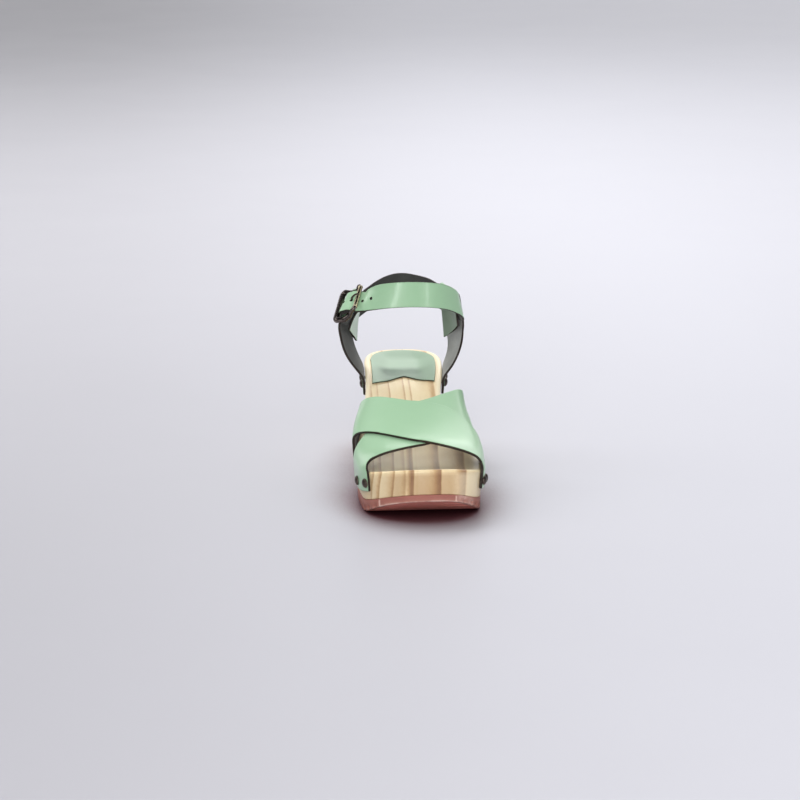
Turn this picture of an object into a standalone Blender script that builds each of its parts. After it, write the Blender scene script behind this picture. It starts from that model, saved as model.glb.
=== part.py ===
"""Right-foot wooden-soled strap sandal: carved wood sole on a rubber forefoot sole and heel lift,
two crossed vamp straps, two heel-side straps with folded loops, and a buckled ankle strap.

Lengths below are millimetres in the shoe's own axes and become metres at the very end:
  x  medial (+) / lateral (-), from the heel's centre line
  s  forward from the back of the heel
  z  up from the floor
"""
import math

import bmesh
import bpy
import numpy as np

for old in list(bpy.data.objects):
    bpy.data.objects.remove(old, do_unlink=True)

# ------------------------------------------------------------------ driving sizes (mm)
LENGTH = 250.0            # heel back to toe tip, size 38
GAP = 0.35                # clearance between touching pieces
DRAFT = 0.065             # inward slope of the wood wall per mm of depth
RIM_ROUND = 2.0           # rounding of the footbed's edge
LIFT_T = 6.0              # heel top lift thickness
HEEL_FRONT = 58.0         # front of the heel at the floor
BREAST_TOP = 70.0         # where the heel's breast meets the arch
SOLE_REAR = 130.0         # rear end of the rubber forefoot sole
VAMP_T = 2.2              # crossed straps' leather
VAMP_RISE = 1.7           # how far the over strap is lifted where it rides on the under strap
STRAP_END = 14.5          # strap end below the rim
SIDE_T = 2.0              # heel-side straps' leather
BELT_T = 1.8              # ankle strap's leather
BELT_W = 20.0             # ankle strap's width
PAD_T = 1.4               # heel pad's leather
PAD_GAP = 0.45            # pad over the dished footbed
NAIL_HEAD_R = 3.6
NAIL_SHANK_R = 1.25
NAIL_DEPTH = 9.0          # shank length in the wood
BAR_R = 1.2               # buckle centre bar
FRAME_H = 30.0            # buckle frame along z
FRAME_W = 24.0            # buckle frame along the strap
FRAME_BAR = 2.7           # frame member width
FRAME_T = 2.4             # frame member thickness
PRONG_R = 1.0

# ------------------------------------------------------------------ tables (a row per section)
# s, lateral half width, medial half width of the footbed's rim
OUTLINE = [(0, 31.2, 31.2), (35, 31.3, 31.3), (65, 32.2, 28.8), (90, 34.0, 25.6), (107, 36.0, 26.4), (130, 39.8, 31.5),
           (150, 44.4, 38.5), (172, 46.8, 44.8), (190, 46.3, 47.0), (207, 45.4, 46.4), (225, 43.6, 44.0), (250, 40.0, 40.0)]
# s, line on which the toe and heel curves close
AXIS = [(0, 0.0), (60, 1.0), (100, -3.0), (150, -1.0), (200, 3.0), (250, 9.0)]
TOE_START, TOE_POWER = 206.0, 2.5
HEEL_START, HEEL_POWER = 42.0, 2.6
# s, rim height
RIM = [(0, 78.0), (25, 77.0), (50, 73.5), (75, 67.5), (100, 58.0), (125, 47.0), (150, 37.8), (172, 32.6), (192, 31.0),
       (212, 32.0), (232, 36.0), (250, 41.4)]
# s, dish of the footbed below the rim
DISH = [(0, 4.5), (45, 4.5), (90, 2.6), (150, 2.0), (190, 2.0), (225, 1.2), (250, 0.6)]
# s, underside of the wood from the heel breast to the toe
WOOD_UNDER = [(70, 47.0), (85, 44.5), (100, 38.0), (125, 22.0), (145, 13.0), (165, 10.2), (185, 9.9), (205, 10.0), (220, 11.8),
              (235, 16.2), (250, 22.4)]
# s, underside of the rubber forefoot sole
RUBBER_UNDER = [(130, 13.5), (140, 7.2), (150, 2.6), (160, 0.0), (195, 0.0), (207, 0.0), (213, 0.8), (225, 4.8), (237, 10.4),
                (250, 16.6)]
# s, arch height over the rim, lateral bulge, medial bulge, lateral shoulder, medial shoulder (superellipse powers)
LAST = [(105, 34.0, 0.0, 13.0, 2.35, 4.4), (120, 33.0, 0.0, 11.5, 2.35, 4.0), (135, 31.5, 1.0, 9.0, 2.35, 3.4),
        (150, 29.0, 2.4, 6.5, 2.35, 2.9), (165, 25.5, 2.4, 4.0, 2.35, 2.6), (180, 21.0, 2.0, 3.0, 2.35, 2.4),
        (195, 16.4, 1.6, 2.4, 2.35, 2.2), (210, 13.6, 1.0, 1.8, 2.35, 2.0), (225, 12.0, 0.5, 1.0, 2.35, 1.9)]
# turn over the last (-90 lateral rim, 90 medial rim, beyond: mm down the wall), s of: over strap rear, front, under strap rear, front
STRAPS = [(-105, 121, 158, 184, 227.5), (-90, 122.5, 160, 182, 227.0), (-60, 130, 168, 177, 219), (-30, 140, 181.5, 163, 209.5),
          (0, 149.5, 196.5, 149.0, 199), (30, 156, 208, 135, 183), (60, 170, 216, 123, 167), (90, 183, 221.5, 116, 156),
          (105, 184.5, 222, 114, 154.5)]
# ankle strap ring: turn (0 front, 90 medial), height of the lower edge, inward tilt of the strap's width in degrees, stand-off from the oval
RING_X, RING_S, RING_AX, RING_AS = -1.5, 58.0, 43.0, 36.0
RING = [(-225, 120.5, 6, 0), (-180, 125.8, 6, 0), (-160, 122.3, 6, 0), (-145, 117.2, 6, 0), (-125, 111.5, 8, 0), (-108, 109.6, 14, -0.6),
        (-90, 111.2, 31, 2.8), (-68, 119.3, 37, 6.5), (-50, 125.8, 34, 4.5), (-30, 129.8, 20, 1.5), (0, 132, 10, 0), (35, 129.5, 8, 0),
        (62, 123.5, 8.5, 0.7), (75, 118.9, 11, 3.0), (88, 113.5, 12.5, 4.2), (108, 112, 10, 3.2), (125, 115, 7, 1.0), (145, 121.5, 6, 0),
        (160, 124, 6, 0), (180, 125.8, 6, 0), (225, 116, 6, 0)]
# outer layer of the ankle strap: turn, distance of its lining face from the ring
TAIL = [(-6, 0.0), (-30, 0.0), (-44, 0.3), (-50, 1.4), (-53.4, 2.6), (-56.5, 4.0), (-59.2, 5.6), (-61.3, 6.6), (-63.3, 6.95), (-66, 7.0),
        (-71.8, 7.0), (-74.1, 5.8), (-76.8, 4.1), (-78.6, 3.3), (-82.2, 2.6), (-93, 2.2), (-116, 2.2)]
BAR_TURN = -66.0          # buckle centre bar on the ring
BAR_OUT = BAR_R + 0.3 + BELT_T   # bar's centre from the ring
BUCKLE_SWING = -4.0       # the flat buckle stands off the ring at its rear by this angle
TAIL_END = -116.0
FLAT_NEAR, FLAT_FAR = 12.0, 24.0   # the strap lies flat this far round from the bar, and is back on the ring here
# heel-side straps: (side), front and rear edge: x, s, z of the free rise
SIDE_FRONT_S, SIDE_REAR_S = 66.0, 42.0
RISE = {"lateral": [(-38.6, 66.5, 77.0, -35.0, 43.0, 81.0), (-46.4, 65.5, 88.5, -38.6, 42.0, 90.0)],
        "medial": [(35.0, 66.5, 77.0, 33.8, 43.0, 81.0), (41.2, 65.5, 88.5, 35.6, 42.0, 90.0)]}
# loops on the ankle strap: front turn, rear turn, lining face outside the ring, flap's face inside the ring, flap's lower edge
# front and rear (from the strap's lower edge)
LOOPS = {"lateral": (-93.0, -122.0, 2 * BELT_T + 2 * GAP + 1.2, -1.0, -3.0, -15.5),
         "medial": (101.0, 131.0, BELT_T + GAP + 0.4, -0.7, -4.0, -20.0)}
FLAP_TAPER = 5.0          # the flap's rear edge turns in by this much at its end
# nails in each end of the crossed straps: share of the strap's width from its rear edge
NAIL_SHARES = {("over", "lateral"): (0.15, 0.55), ("under", "lateral"): (0.53, 0.94), ("over", "medial"): (0.65, 0.93),
               ("under", "medial"): (0.2, 0.8)}
# heel pad: share of the width, back and front edge s
PAD_SIDE = 5.2
PAD_BACK = 6.5
PAD_CORNER_S, PAD_NOTCH_S = 76.5, 59.5


# ------------------------------------------------------------------ helpers
def spline(table, u):
    """Natural cubic spline through the rows of a table; the first column is the parameter."""
    t = np.asarray(table, float)
    X, Y = t[:, 0], t[:, 1:]
    n, h = len(X), np.diff(X)
    A, R = np.eye(n), np.zeros((n, Y.shape[1]))
    for i in range(1, n - 1):
        A[i, i - 1], A[i, i], A[i, i + 1] = h[i - 1], 2 * (h[i - 1] + h[i]), h[i]
        R[i] = 6 * ((Y[i + 1] - Y[i]) / h[i] - (Y[i] - Y[i - 1]) / h[i - 1])
    M = np.linalg.solve(A, R)
    u = np.asarray(u, float)
    shape, u = u.shape, u.ravel()
    k = np.clip(np.searchsorted(X, u) - 1, 0, n - 2)
    d, hk = (u - X[k])[:, None], h[k][:, None]
    slope = (Y[k + 1] - Y[k]) / hk - hk * (2 * M[k] + M[k + 1]) / 6
    out = Y[k] + slope * d + M[k] / 2 * d ** 2 + (M[k + 1] - M[k]) / (6 * hk) * d ** 3
    return out.reshape(shape + (Y.shape[1],))


def smooth(a, b, v):
    t = np.clip((np.asarray(v, float) - a) / (b - a), 0, 1)
    return t * t * (3 - 2 * t)


def closing(s):
    toe = np.clip((s - TOE_START) / (LENGTH - TOE_START), 0, 1)
    heel = np.clip((HEEL_START - s) / HEEL_START, 0, 1)
    return (1 - toe ** TOE_POWER) ** (1 / TOE_POWER) * (1 - heel ** HEEL_POWER) ** (1 / HEEL_POWER)


def edges(s):
    """Lateral and medial x of the rim."""
    s = np.asarray(s, float)
    o, c, k = spline(OUTLINE, s), spline(AXIS, s)[..., 0], closing(s)
    return c - (o[..., 0] + c) * k, c + (o[..., 1] - c) * k


def rim(s):
    return spline(RIM, s)[..., 0]


def footbed(x, s):
    """Height of the dished footbed."""
    xl, xr = edges(s)
    half = np.maximum((xr - xl) / 2, 1e-6)
    across = np.abs(x - (xl + xr) / 2) / half
    ends = smooth(1.5, 24, s) * smooth(2, 18, LENGTH - s)
    return rim(s) - spline(DISH, s)[..., 0] * (1 - smooth(0.30, 0.97, across)) * ends


def under(s):
    """Underside of the wood: flat on the heel, sloped breast, arch, forefoot."""
    s = np.asarray(s, float)
    flat = LIFT_T + GAP
    arch = spline(WOOD_UNDER, np.maximum(s, BREAST_TOP))[..., 0]
    f = np.clip((s - HEEL_FRONT) / (BREAST_TOP - HEEL_FRONT), 0, 1)
    return np.where(s <= HEEL_FRONT, flat, np.where(s < BREAST_TOP, flat + (arch - flat) * f, arch))


def last(turn, s):
    """Inner surface of the vamp over the last; past +-90 degrees it runs down the wood's wall, 1 mm per unit."""
    turn, s = np.broadcast_arrays(np.asarray(turn, float), np.asarray(s, float))
    xl, xr = edges(s)
    row = spline(LAST, s)
    p = np.radians(np.clip(turn, -90, 90))
    below = np.clip(np.abs(turn) - 90, 0, None)
    lateral = p < 0
    power = np.where(lateral, row[..., 3], row[..., 4])
    across = np.abs(np.sin(p)) ** (2 / power)
    up = np.clip(np.cos(p), 0, 1) ** (2 / power)
    half = (xr - xl) / 2 + GAP + 0.1
    bulge = np.where(lateral, row[..., 1], row[..., 2]) * smooth(0.0, 0.75, up)
    x = (xl + xr) / 2 + np.sign(p) * across * (half + bulge) - np.sign(p) * DRAFT * below
    return np.stack([x, s, rim(s) + row[..., 0] * up - below], -1)


def ring_frame(turn):
    """Lower edge of the ankle ring, its outward normal and its direction across the width."""
    turn = np.asarray(turn, float)
    wrapped = (turn + 180.0) % 360.0 - 180.0
    t = np.radians(turn)
    row = spline(RING, wrapped)
    n = np.stack([np.sin(t) / RING_AX, np.cos(t) / RING_AS, 0 * t], -1)
    n /= np.linalg.norm(n, axis=-1, keepdims=True)
    tilt = np.radians(row[..., 1:2])
    z = np.array([0.0, 0.0, 1.0])
    base = np.stack([RING_X + RING_AX * np.sin(t), RING_S + RING_AS * np.cos(t), row[..., 0]], -1) + n * row[..., 2:3]
    return base, n * np.cos(tilt) + z * np.sin(tilt), z * np.cos(tilt) - n * np.sin(tilt)


def ring(turn, out, up):
    """Point on the ankle ring: turn in degrees, distance outward, distance over the strap's lower edge (below it: straight down)."""
    turn, out, up = np.broadcast_arrays(np.asarray(turn, float), np.asarray(out, float), np.asarray(up, float))
    base, n, w = ring_frame(turn)
    z = np.array([0.0, 0.0, 1.0])
    return base + n * out[..., None] + w * np.clip(up, 0, None)[..., None] + z * np.clip(up, None, 0)[..., None]


def grid_normals(P):
    """Unit normals of a grid of points (n, m, 3)."""
    du, dv = np.gradient(P, axis=0), np.gradient(P, axis=1)
    n = np.cross(du, dv)
    return n / np.maximum(np.linalg.norm(n, axis=-1, keepdims=True), 1e-9)


# ------------------------------------------------------------------ materials and mesh output
def material(name, srgb, roughness, metallic=0.0):
    m = bpy.data.materials.new(name)
    m.use_nodes = True
    lin = [(c / 255 / 12.92) if c <= 10 else ((c / 255 + 0.055) / 1.055) ** 2.4 for c in srgb]
    b = m.node_tree.nodes["Principled BSDF"]
    b.inputs["Base Color"].default_value = (*lin, 1.0)
    b.inputs["Roughness"].default_value = roughness
    b.inputs["Metallic"].default_value = metallic
    m.diffuse_color = (*lin, 1.0)
    return m


WOOD = material("wood", (228, 204, 162), 0.45)
LEATHER = material("leather", (166, 206, 170), 0.32)
PAD_LEATHER = material("pad_leather", (172, 204, 180), 0.4)
RUBBER = material("rubber", (176, 112, 98), 0.7)
METAL = material("pewter", (120, 108, 96), 0.35, 1.0)
NAIL = material("nail", (58, 54, 52), 0.4, 1.0)

BODIES = []


def mesh_object(name, verts, faces, mat, guide=False, flat=False):
    """Mesh object from points in millimetres (x, s, z), faces turned outward."""
    v = np.asarray(verts, float)
    bm = bmesh.new()
    bv = [bm.verts.new((p[0] * 1e-3, -p[1] * 1e-3, p[2] * 1e-3)) for p in v]
    for f in faces:
        g = [k for n, k in enumerate(f) if k != f[n - 1]]
        if len(set(g)) == len(g) and len(g) > 2:
            bm.faces.new([bv[k] for k in g])
    bmesh.ops.remove_doubles(bm, verts=bm.verts, dist=1e-7)
    bmesh.ops.dissolve_degenerate(bm, edges=bm.edges, dist=1e-7)
    loose = [q for q in bm.verts if not q.link_faces]
    bmesh.ops.delete(bm, geom=loose, context="VERTS")
    bmesh.ops.recalc_face_normals(bm, faces=bm.faces)
    if bm.calc_volume(signed=True) < 0:
        bmesh.ops.reverse_faces(bm, faces=bm.faces)
    me = bpy.data.meshes.new(name)
    bm.to_mesh(me)
    bm.free()
    ob = bpy.data.objects.new(name, me)
    bpy.context.scene.collection.objects.link(ob)
    me.materials.append(mat)
    if not flat:
        me.shade_smooth()
        me.set_sharp_from_angle(angle=math.radians(40))
    if guide:
        ob.hide_render = True
        ob.display_type = "WIRE"
    BODIES.append(ob)
    return ob


def sheet(name, inner, outer, mat, guide=False):
    """Closed leather band between two grids of points."""
    n, m = inner.shape[:2]
    idx = np.arange(n * m).reshape(n, m)
    k = n * m
    faces = []
    for i in range(n - 1):
        for j in range(m - 1):
            q = (idx[i, j], idx[i, j + 1], idx[i + 1, j + 1], idx[i + 1, j])
            faces += [q[::-1], tuple(a + k for a in q)]
    rimline = [idx[i, 0] for i in range(n)] + [idx[n - 1, j] for j in range(1, m)]
    rimline += [idx[i, m - 1] for i in range(n - 2, -1, -1)] + [idx[0, j] for j in range(m - 2, 0, -1)]
    for a, b in zip(rimline, rimline[1:] + rimline[:1]):
        faces.append((a, b, b + k, a + k))
    return mesh_object(name, np.concatenate([inner.reshape(-1, 3), outer.reshape(-1, 3)]), faces, mat, guide)


def turned(profile, base, axis, segments=12):
    """Lathe: (radius, height) rows about an axis; returns points and faces."""
    axis = np.asarray(axis, float) / np.linalg.norm(axis)
    side = np.cross(axis, (0, 0, 1) if abs(axis[2]) < 0.9 else (1, 0, 0))
    side /= np.linalg.norm(side)
    other = np.cross(axis, side)
    pts, faces, rows = [], [], []
    for r, h in profile:
        if r == 0:
            rows.append([len(pts)] * segments)
            pts.append(np.asarray(base) + axis * h)
        else:
            rows.append(list(range(len(pts), len(pts) + segments)))
            for q in range(segments):
                a = 2 * math.pi * q / segments
                pts.append(np.asarray(base) + axis * h + r * (math.cos(a) * side + math.sin(a) * other))
    for a, b in zip(rows, rows[1:]):
        for q in range(segments):
            w = (q + 1) % segments
            f = [a[q], a[w], b[w], b[q]]
            faces.append(tuple(dict.fromkeys(f)))
    return pts, faces


def joined(items):
    pts, faces = [], []
    for p, f in items:
        k = len(pts)
        pts += list(p)
        faces += [tuple(a + k for a in q) for q in f]
    return pts, faces


def boolean(ob, cutter, operation):
    mod = ob.modifiers.new(operation.lower() + "_" + cutter.name, "BOOLEAN")
    mod.object, mod.operation, mod.solver = cutter, operation, "EXACT"


# ------------------------------------------------------------------ sole pieces
def outline_loop(stations, depth):
    """Closed loop of rim points set in by depth along the outline's own normal; lateral heel-to-toe, then medial back."""
    xl, xr = edges(stations)
    loop = np.concatenate([np.stack([xl, stations], -1), np.stack([xr, stations], -1)[-2:0:-1]])
    tangent = np.roll(loop, -1, 0) - np.roll(loop, 1, 0)
    normal = np.stack([tangent[:, 1], -tangent[:, 0]], -1)
    normal /= np.linalg.norm(normal, axis=1, keepdims=True)
    return loop + normal * np.asarray(depth, float)[..., None]


def stations_between(a, b, step, extra=()):
    heel = HEEL_START * (1 - np.cos(np.linspace(0, math.pi / 2, 10)))
    toe = TOE_START + (LENGTH - TOE_START) * np.sin(np.linspace(0, math.pi / 2, 12))
    mid = np.linspace(HEEL_START, TOE_START, int(round((TOE_START - HEEL_START) / step)) + 1)[1:-1]
    s = np.unique(np.round(np.concatenate([heel, mid, toe, extra]), 4))
    s = s[(s > a + 1.0) & (s < b - 1.0)]
    return np.concatenate([[a], s, [b]]) if a > 0 or b < LENGTH else np.concatenate([[0.0], s, [LENGTH]])


def build_wood():
    st = stations_between(0.0, LENGTH, 9.0, (HEEL_FRONT, BREAST_TOP))
    n = len(st)
    loop_s = np.concatenate([st, st[-2:0:-1]])
    count = len(loop_s)
    top, low = rim(loop_s), under(loop_s)
    r = RIM_ROUND
    rings = []
    for angle in (0.0, 45.0, 90.0):
        a = math.radians(angle)
        xy = outline_loop(st, np.full(count, r * (1 - math.sin(a))))
        rings.append(np.column_stack([xy, top - r * (1 - math.cos(a))]))
    xy = outline_loop(st, DRAFT * (top - low))
    rings.append(np.column_stack([xy, low]))
    pts = list(np.concatenate(rings))
    faces = []
    for k in range(len(rings) - 1):
        for i in range(count):
            j = (i + 1) % count
            faces.append((k * count + i, k * count + j, (k + 1) * count + j, (k + 1) * count + i))

    def rows(ring, columns, height):
        """Fill between the lateral and medial halves of a ring, station by station."""
        grid = []
        for i in range(n):
            a, b = i, (count - i) % count
            line = [ring * count + a]
            pa, pb = np.asarray(pts[ring * count + a]), np.asarray(pts[ring * count + b])
            if a == b or i == n - 1:
                grid.append([line[0]] * (columns + 1))
                continue
            for c in range(1, columns):
                q = pa + (pb - pa) * c / columns
                line.append(len(pts))
                pts.append(np.array([q[0], q[1], height(q)]))
            grid.append(line + [ring * count + b])
        for i in range(n - 1):
            for c in range(columns):
                faces.append(tuple(dict.fromkeys((grid[i][c], grid[i][c + 1], grid[i + 1][c + 1], grid[i + 1][c]))))

    rows(0, 16, lambda q: float(footbed(q[0], np.clip(q[1], 0, LENGTH))))
    rows(3, 4, lambda q: q[2])
    return mesh_object("wood_sole", pts, faces, WOOD)


def build_outsole():
    st = stations_between(SOLE_REAR, LENGTH, 9.0)
    n = len(st)
    xl, xr = edges(st)
    full = np.concatenate([st, st[-2::-1]])
    count = len(full)
    loop = np.concatenate([np.stack([xl, st], -1), np.stack([xr, st], -1)[-2::-1]])
    tangent = np.gradient(loop, axis=0)
    normal = np.stack([tangent[:, 1], -tangent[:, 0]], -1)
    normal /= np.linalg.norm(normal, axis=1, keepdims=True)
    normal[0], normal[-1] = (1, 0), (-1, 0)
    top, low, rim_z = under(full) - GAP, spline(RUBBER_UNDER, full)[:, 0], rim(full)
    low[np.abs(low) < 0.02] = 0.0
    low = np.where((full > 160) & (full < 207.5), 0.0, low)
    upper = np.column_stack([loop + normal * (DRAFT * (rim_z - top))[:, None], top])
    lower = np.column_stack([loop + normal * (DRAFT * (rim_z - low))[:, None], low])
    pts, faces = list(upper) + list(lower), []
    for i in range(count):
        j = (i + 1) % count
        faces.append((i, j, count + j, count + i))
    columns = 4
    for base in (0, count):
        grid = []
        for i in range(n):
            a, b = base + i, base + count - 1 - i
            if a == b:
                grid.append([a] * (columns + 1))
                continue
            line = [a]
            for c in range(1, columns):
                line.append(len(pts))
                pts.append(pts[a] + (pts[b] - pts[a]) * c / columns)
            grid.append(line + [b])
        for i in range(n - 1):
            for c in range(columns):
                faces.append(tuple(dict.fromkeys((grid[i][c], grid[i][c + 1], grid[i + 1][c + 1], grid[i + 1][c]))))
        if base == 0:
            rear_top = grid[0]
        else:
            rear_low = grid[0]
    faces = [f for f in faces if set(f) != {0, count - 1, count, 2 * count - 1}]
    for c in range(columns):
        faces.append((rear_top[c], rear_top[c + 1], rear_low[c + 1], rear_low[c]))
    ob = mesh_object("outsole_forefoot", pts, faces, RUBBER)
    # transverse tread grooves, closed short of the edges
    boxes = []
    for s in (166.0, 178.0, 190.0, 202.0):
        a, b = edges(s)
        a, b = float(a) + 7.0, float(b) - 7.0
        c = [(x, y, z) for z in (-1.0, 2.2) for y in (s - 1.6, s + 1.6) for x in (a, b)]
        boxes.append((c, [(0, 1, 3, 2), (4, 6, 7, 5), (0, 4, 5, 1), (2, 3, 7, 6), (0, 2, 6, 4), (1, 5, 7, 3)]))
    boolean(ob, mesh_object("tread_grooves", *joined(boxes), RUBBER, guide=True, flat=True), "DIFFERENCE")
    return ob


def build_lift():
    st = stations_between(0.0, HEEL_FRONT - 0.6, 9.0)
    st = np.concatenate([st[:-1][st[:-1] < HEEL_FRONT - 3], [HEEL_FRONT - 0.6]])
    xl, xr = edges(st)
    loop = np.concatenate([np.stack([xl, st], -1)[::-1], np.stack([xr, st], -1)[1:]])
    full = np.concatenate([st[::-1], st[1:]])
    tangent = np.gradient(loop, axis=0)
    normal = np.stack([-tangent[:, 1], tangent[:, 0]], -1)
    normal /= np.linalg.norm(normal, axis=1, keepdims=True)
    normal[0], normal[-1] = (1, 0), (-1, 0)
    count, pts, faces = len(full), [], []
    for z in (LIFT_T, 0.0):
        pts += list(np.column_stack([loop + normal * (DRAFT * (rim(full) - z))[:, None], np.full(count, z)]))
    for i in range(count):
        faces.append((i, (i + 1) % count, count + (i + 1) % count, count + i))
    half = count // 2
    for base in (0, count):
        for i in range(half):
            faces.append(tuple(dict.fromkeys((base + i, base + i + 1, base + count - 2 - i, base + count - 1 - i))))
    return mesh_object("heel_top_lift", pts, faces, RUBBER)


def build_pad():
    across, along = 13, 12
    u = np.linspace(-1, 1, across)
    grid = np.zeros((along, across, 2))
    front = PAD_NOTCH_S + (PAD_CORNER_S - PAD_NOTCH_S) * np.abs(u) - 1.0 * u
    for j, uj in enumerate(u):
        # the back edge keeps its distance to the rim round the heel
        a = abs(uj)
        back = PAD_BACK + (HEEL_START - 6.0) * (1 - (1 - (a * 0.985) ** HEEL_POWER) ** (1 / HEEL_POWER))
        s = back + (front[j] - back) * np.linspace(0, 1, along)
        ref = np.maximum(s, HEEL_START * 0.9)
        xl, xr = edges(ref)
        grid[:, j, 0] = (xl + xr) / 2 + uj * ((xr - xl) / 2 - PAD_SIDE)
        grid[:, j, 1] = s
    z = footbed(grid[..., 0], grid[..., 1])
    base = np.dstack([grid, z])
    n = grid_normals(base)
    n *= np.sign(n[..., 2:3])
    return sheet("heel_pad", base + n * PAD_GAP, base + n * (PAD_GAP + PAD_T), PAD_LEATHER)


# ------------------------------------------------------------------ vamp and nails
def vamp_point(strap, turn, share):
    """Inner surface of a crossed strap ("over" or "under"), share 0 rear edge .. 1 front edge."""
    e = spline(STRAPS, turn)
    k = 0 if strap == "over" else 2
    s = e[..., k] + (e[..., k + 1] - e[..., k]) * share
    return last(turn, s)


def vamp_band(strap, along=46, across=7):
    end = 90.0 + STRAP_END
    t = np.concatenate([[-end, -97.0], np.linspace(-90, 90, along - 4), [97.0, end]])
    w = np.linspace(0, 1, across)
    T, W = np.meshgrid(t, w, indexing="ij")
    base = vamp_point(strap, T, W)
    n = grid_normals(base)
    mid = n[len(t) // 2, across // 2, 2]
    n *= np.sign(mid)
    lift = VAMP_RISE * (1 - smooth(60, 86, np.abs(T)))[..., None] if strap == "over" else 0.0
    return base + n * lift, base + n * (lift + VAMP_T)


NAILS = []


def nail_at(name, strap_t, base, normal):
    NAILS.append((name, np.asarray(base, float), np.asarray(normal, float), strap_t))


def nail_holes(name, names, radius):
    items = []
    for nm, base, n, t in NAILS:
        if nm in names:
            items.append(turned([(0, -NAIL_DEPTH - 0.6), (radius, -NAIL_DEPTH - 0.6), (radius, t + 3.0), (0, t + 3.0)], base, n, 10))
    return mesh_object(name, *joined(items), NAIL, guide=True, flat=True)


def build_nails():
    for nm, base, n, t in NAILS:
        h = t + GAP
        profile = [(0, -NAIL_DEPTH), (NAIL_SHANK_R, -NAIL_DEPTH), (NAIL_SHANK_R, h), (NAIL_HEAD_R, h), (NAIL_HEAD_R - 0.25, h + 0.9),
                   (NAIL_HEAD_R * 0.7, h + 1.7), (NAIL_HEAD_R * 0.34, h + 2.15), (0, h + 2.25)]
        mesh_object(nm, *turned(profile, base, n, 10), NAIL)


def wall_frame(s, depth, side):
    """Point just off the wood's wall and its outward normal."""
    d = 0.5
    sign = -1 if side == "lateral" else 1
    p = last(sign * (90 + depth), s)
    ds = last(sign * (90 + depth), s + d) - last(sign * (90 + depth), s - d)
    dz = last(sign * (90 + depth - d), s) - last(sign * (90 + depth + d), s)
    n = np.cross(ds, dz)
    n /= np.linalg.norm(n)
    return p, n * np.sign(n[0] * sign)


# ------------------------------------------------------------------ heel-side straps
def side_strap(side):
    sign = -1 if side == "lateral" else 1
    front_turn, rear_turn, out, gap_in, flap_front, flap_rear = LOOPS[side]
    rows = []                       # front edge, rear edge of the lining face

    def wall(s, depth):
        xl, xr = edges(s)
        x = float(xl) if sign < 0 else float(xr)
        return (x + sign * (GAP + 0.3) - sign * DRAFT * depth, s, float(rim(s)) - depth)

    for depth in (STRAP_END, 8.0, 2.5):
        rows.append(wall(SIDE_FRONT_S, depth) + wall(SIDE_REAR_S, depth))
    rows += RISE[side]
    low = -7.0
    f, r = ring(front_turn, out, low), ring(rear_turn, out, low)
    rows.append(tuple(f) + tuple(r))
    rows = np.asarray(rows, float)
    mid = (rows[:, :3] + rows[:, 3:]) / 2
    step = np.concatenate([[0], np.cumsum(np.linalg.norm(np.diff(mid, axis=0), axis=1))])
    sampled = spline(np.column_stack([step, rows]), np.linspace(0, step[-1], 17))
    centre, radius = (out + gap_in) / 2, (out - gap_in) / 2
    top = BELT_W + (0.2 if side == "medial" else 1.0)
    share = np.linspace(0, 1, 5)
    turn = front_turn + (rear_turn - front_turn) * share
    bow = ring(turn, out, low)
    bow = bow - (bow[:1] * (1 - share[:, None]) + bow[-1:] * share[:, None])
    grid = []
    for i, p in enumerate(sampled):         # the free part eases into the curve of the ring
        straight = p[:3] * (1 - share[:, None]) + p[3:] * share[:, None]
        grid.append(straight + bow * smooth(0.45, 1.0, i / (len(sampled) - 1)))
    for up in (2.0, 11.0, top):
        grid.append(ring(turn, out, up))
    for a in np.linspace(0, math.pi, 8)[1:-1]:
        grid.append(ring(turn, centre + radius * math.cos(a), top + radius * math.sin(a)))
    for k in (0.0, 0.33, 0.66, 1.0):
        flap = flap_front + (flap_rear - flap_front) * share
        grid.append(ring(turn - sign * FLAP_TAPER * share * k, gap_in, top + (flap - top) * k))
    base = np.asarray(grid)
    n = grid_normals(base)
    ref = n[2, 2]
    if ref[0] * sign < 0:
        n = -n
    ob = sheet("side_strap_" + side, base, base + n * SIDE_T, LEATHER)
    for k, s in enumerate((SIDE_REAR_S + 6.5, SIDE_FRONT_S - 6.5)):
        p, nn = wall_frame_heel(s, 8.0, sign)
        nail_at("nail_heel_%s_%d" % (side, k + 1), SIDE_T + 0.3, p, nn)
    return ob


def wall_frame_heel(s, depth, sign):
    def q(s, d):
        xl, xr = edges(s)
        x = float(xl) if sign < 0 else float(xr)
        return np.array([x + sign * (GAP + 0.1) - sign * DRAFT * d, s, float(rim(s)) - d])
    n = np.cross(q(s + 0.5, depth) - q(s - 0.5, depth), q(s, depth - 0.5) - q(s, depth + 0.5))
    n /= np.linalg.norm(n)
    return q(s, depth), n * np.sign(n[0] * sign)


# ------------------------------------------------------------------ ankle strap and buckle
def square_turn(turn, up):
    """Turn at which a line square to the ring's course through (turn, middle) meets the height up."""
    turn, up = np.broadcast_arrays(np.asarray(turn, float), np.asarray(up, float))
    mid = ring(turn, 0, BELT_W / 2)
    course = ring(turn - 1, 0, BELT_W / 2) - ring(turn + 1, 0, BELT_W / 2)
    course /= np.linalg.norm(course, axis=-1, keepdims=True)
    out = turn.copy()
    for _ in range(3):
        p = ring(out, 0, up)
        rate = ((ring(out - 0.5, 0, up) - ring(out + 0.5, 0, up)) * course).sum(-1)
        out = out + ((p - mid) * course).sum(-1) / rate
    return out


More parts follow.
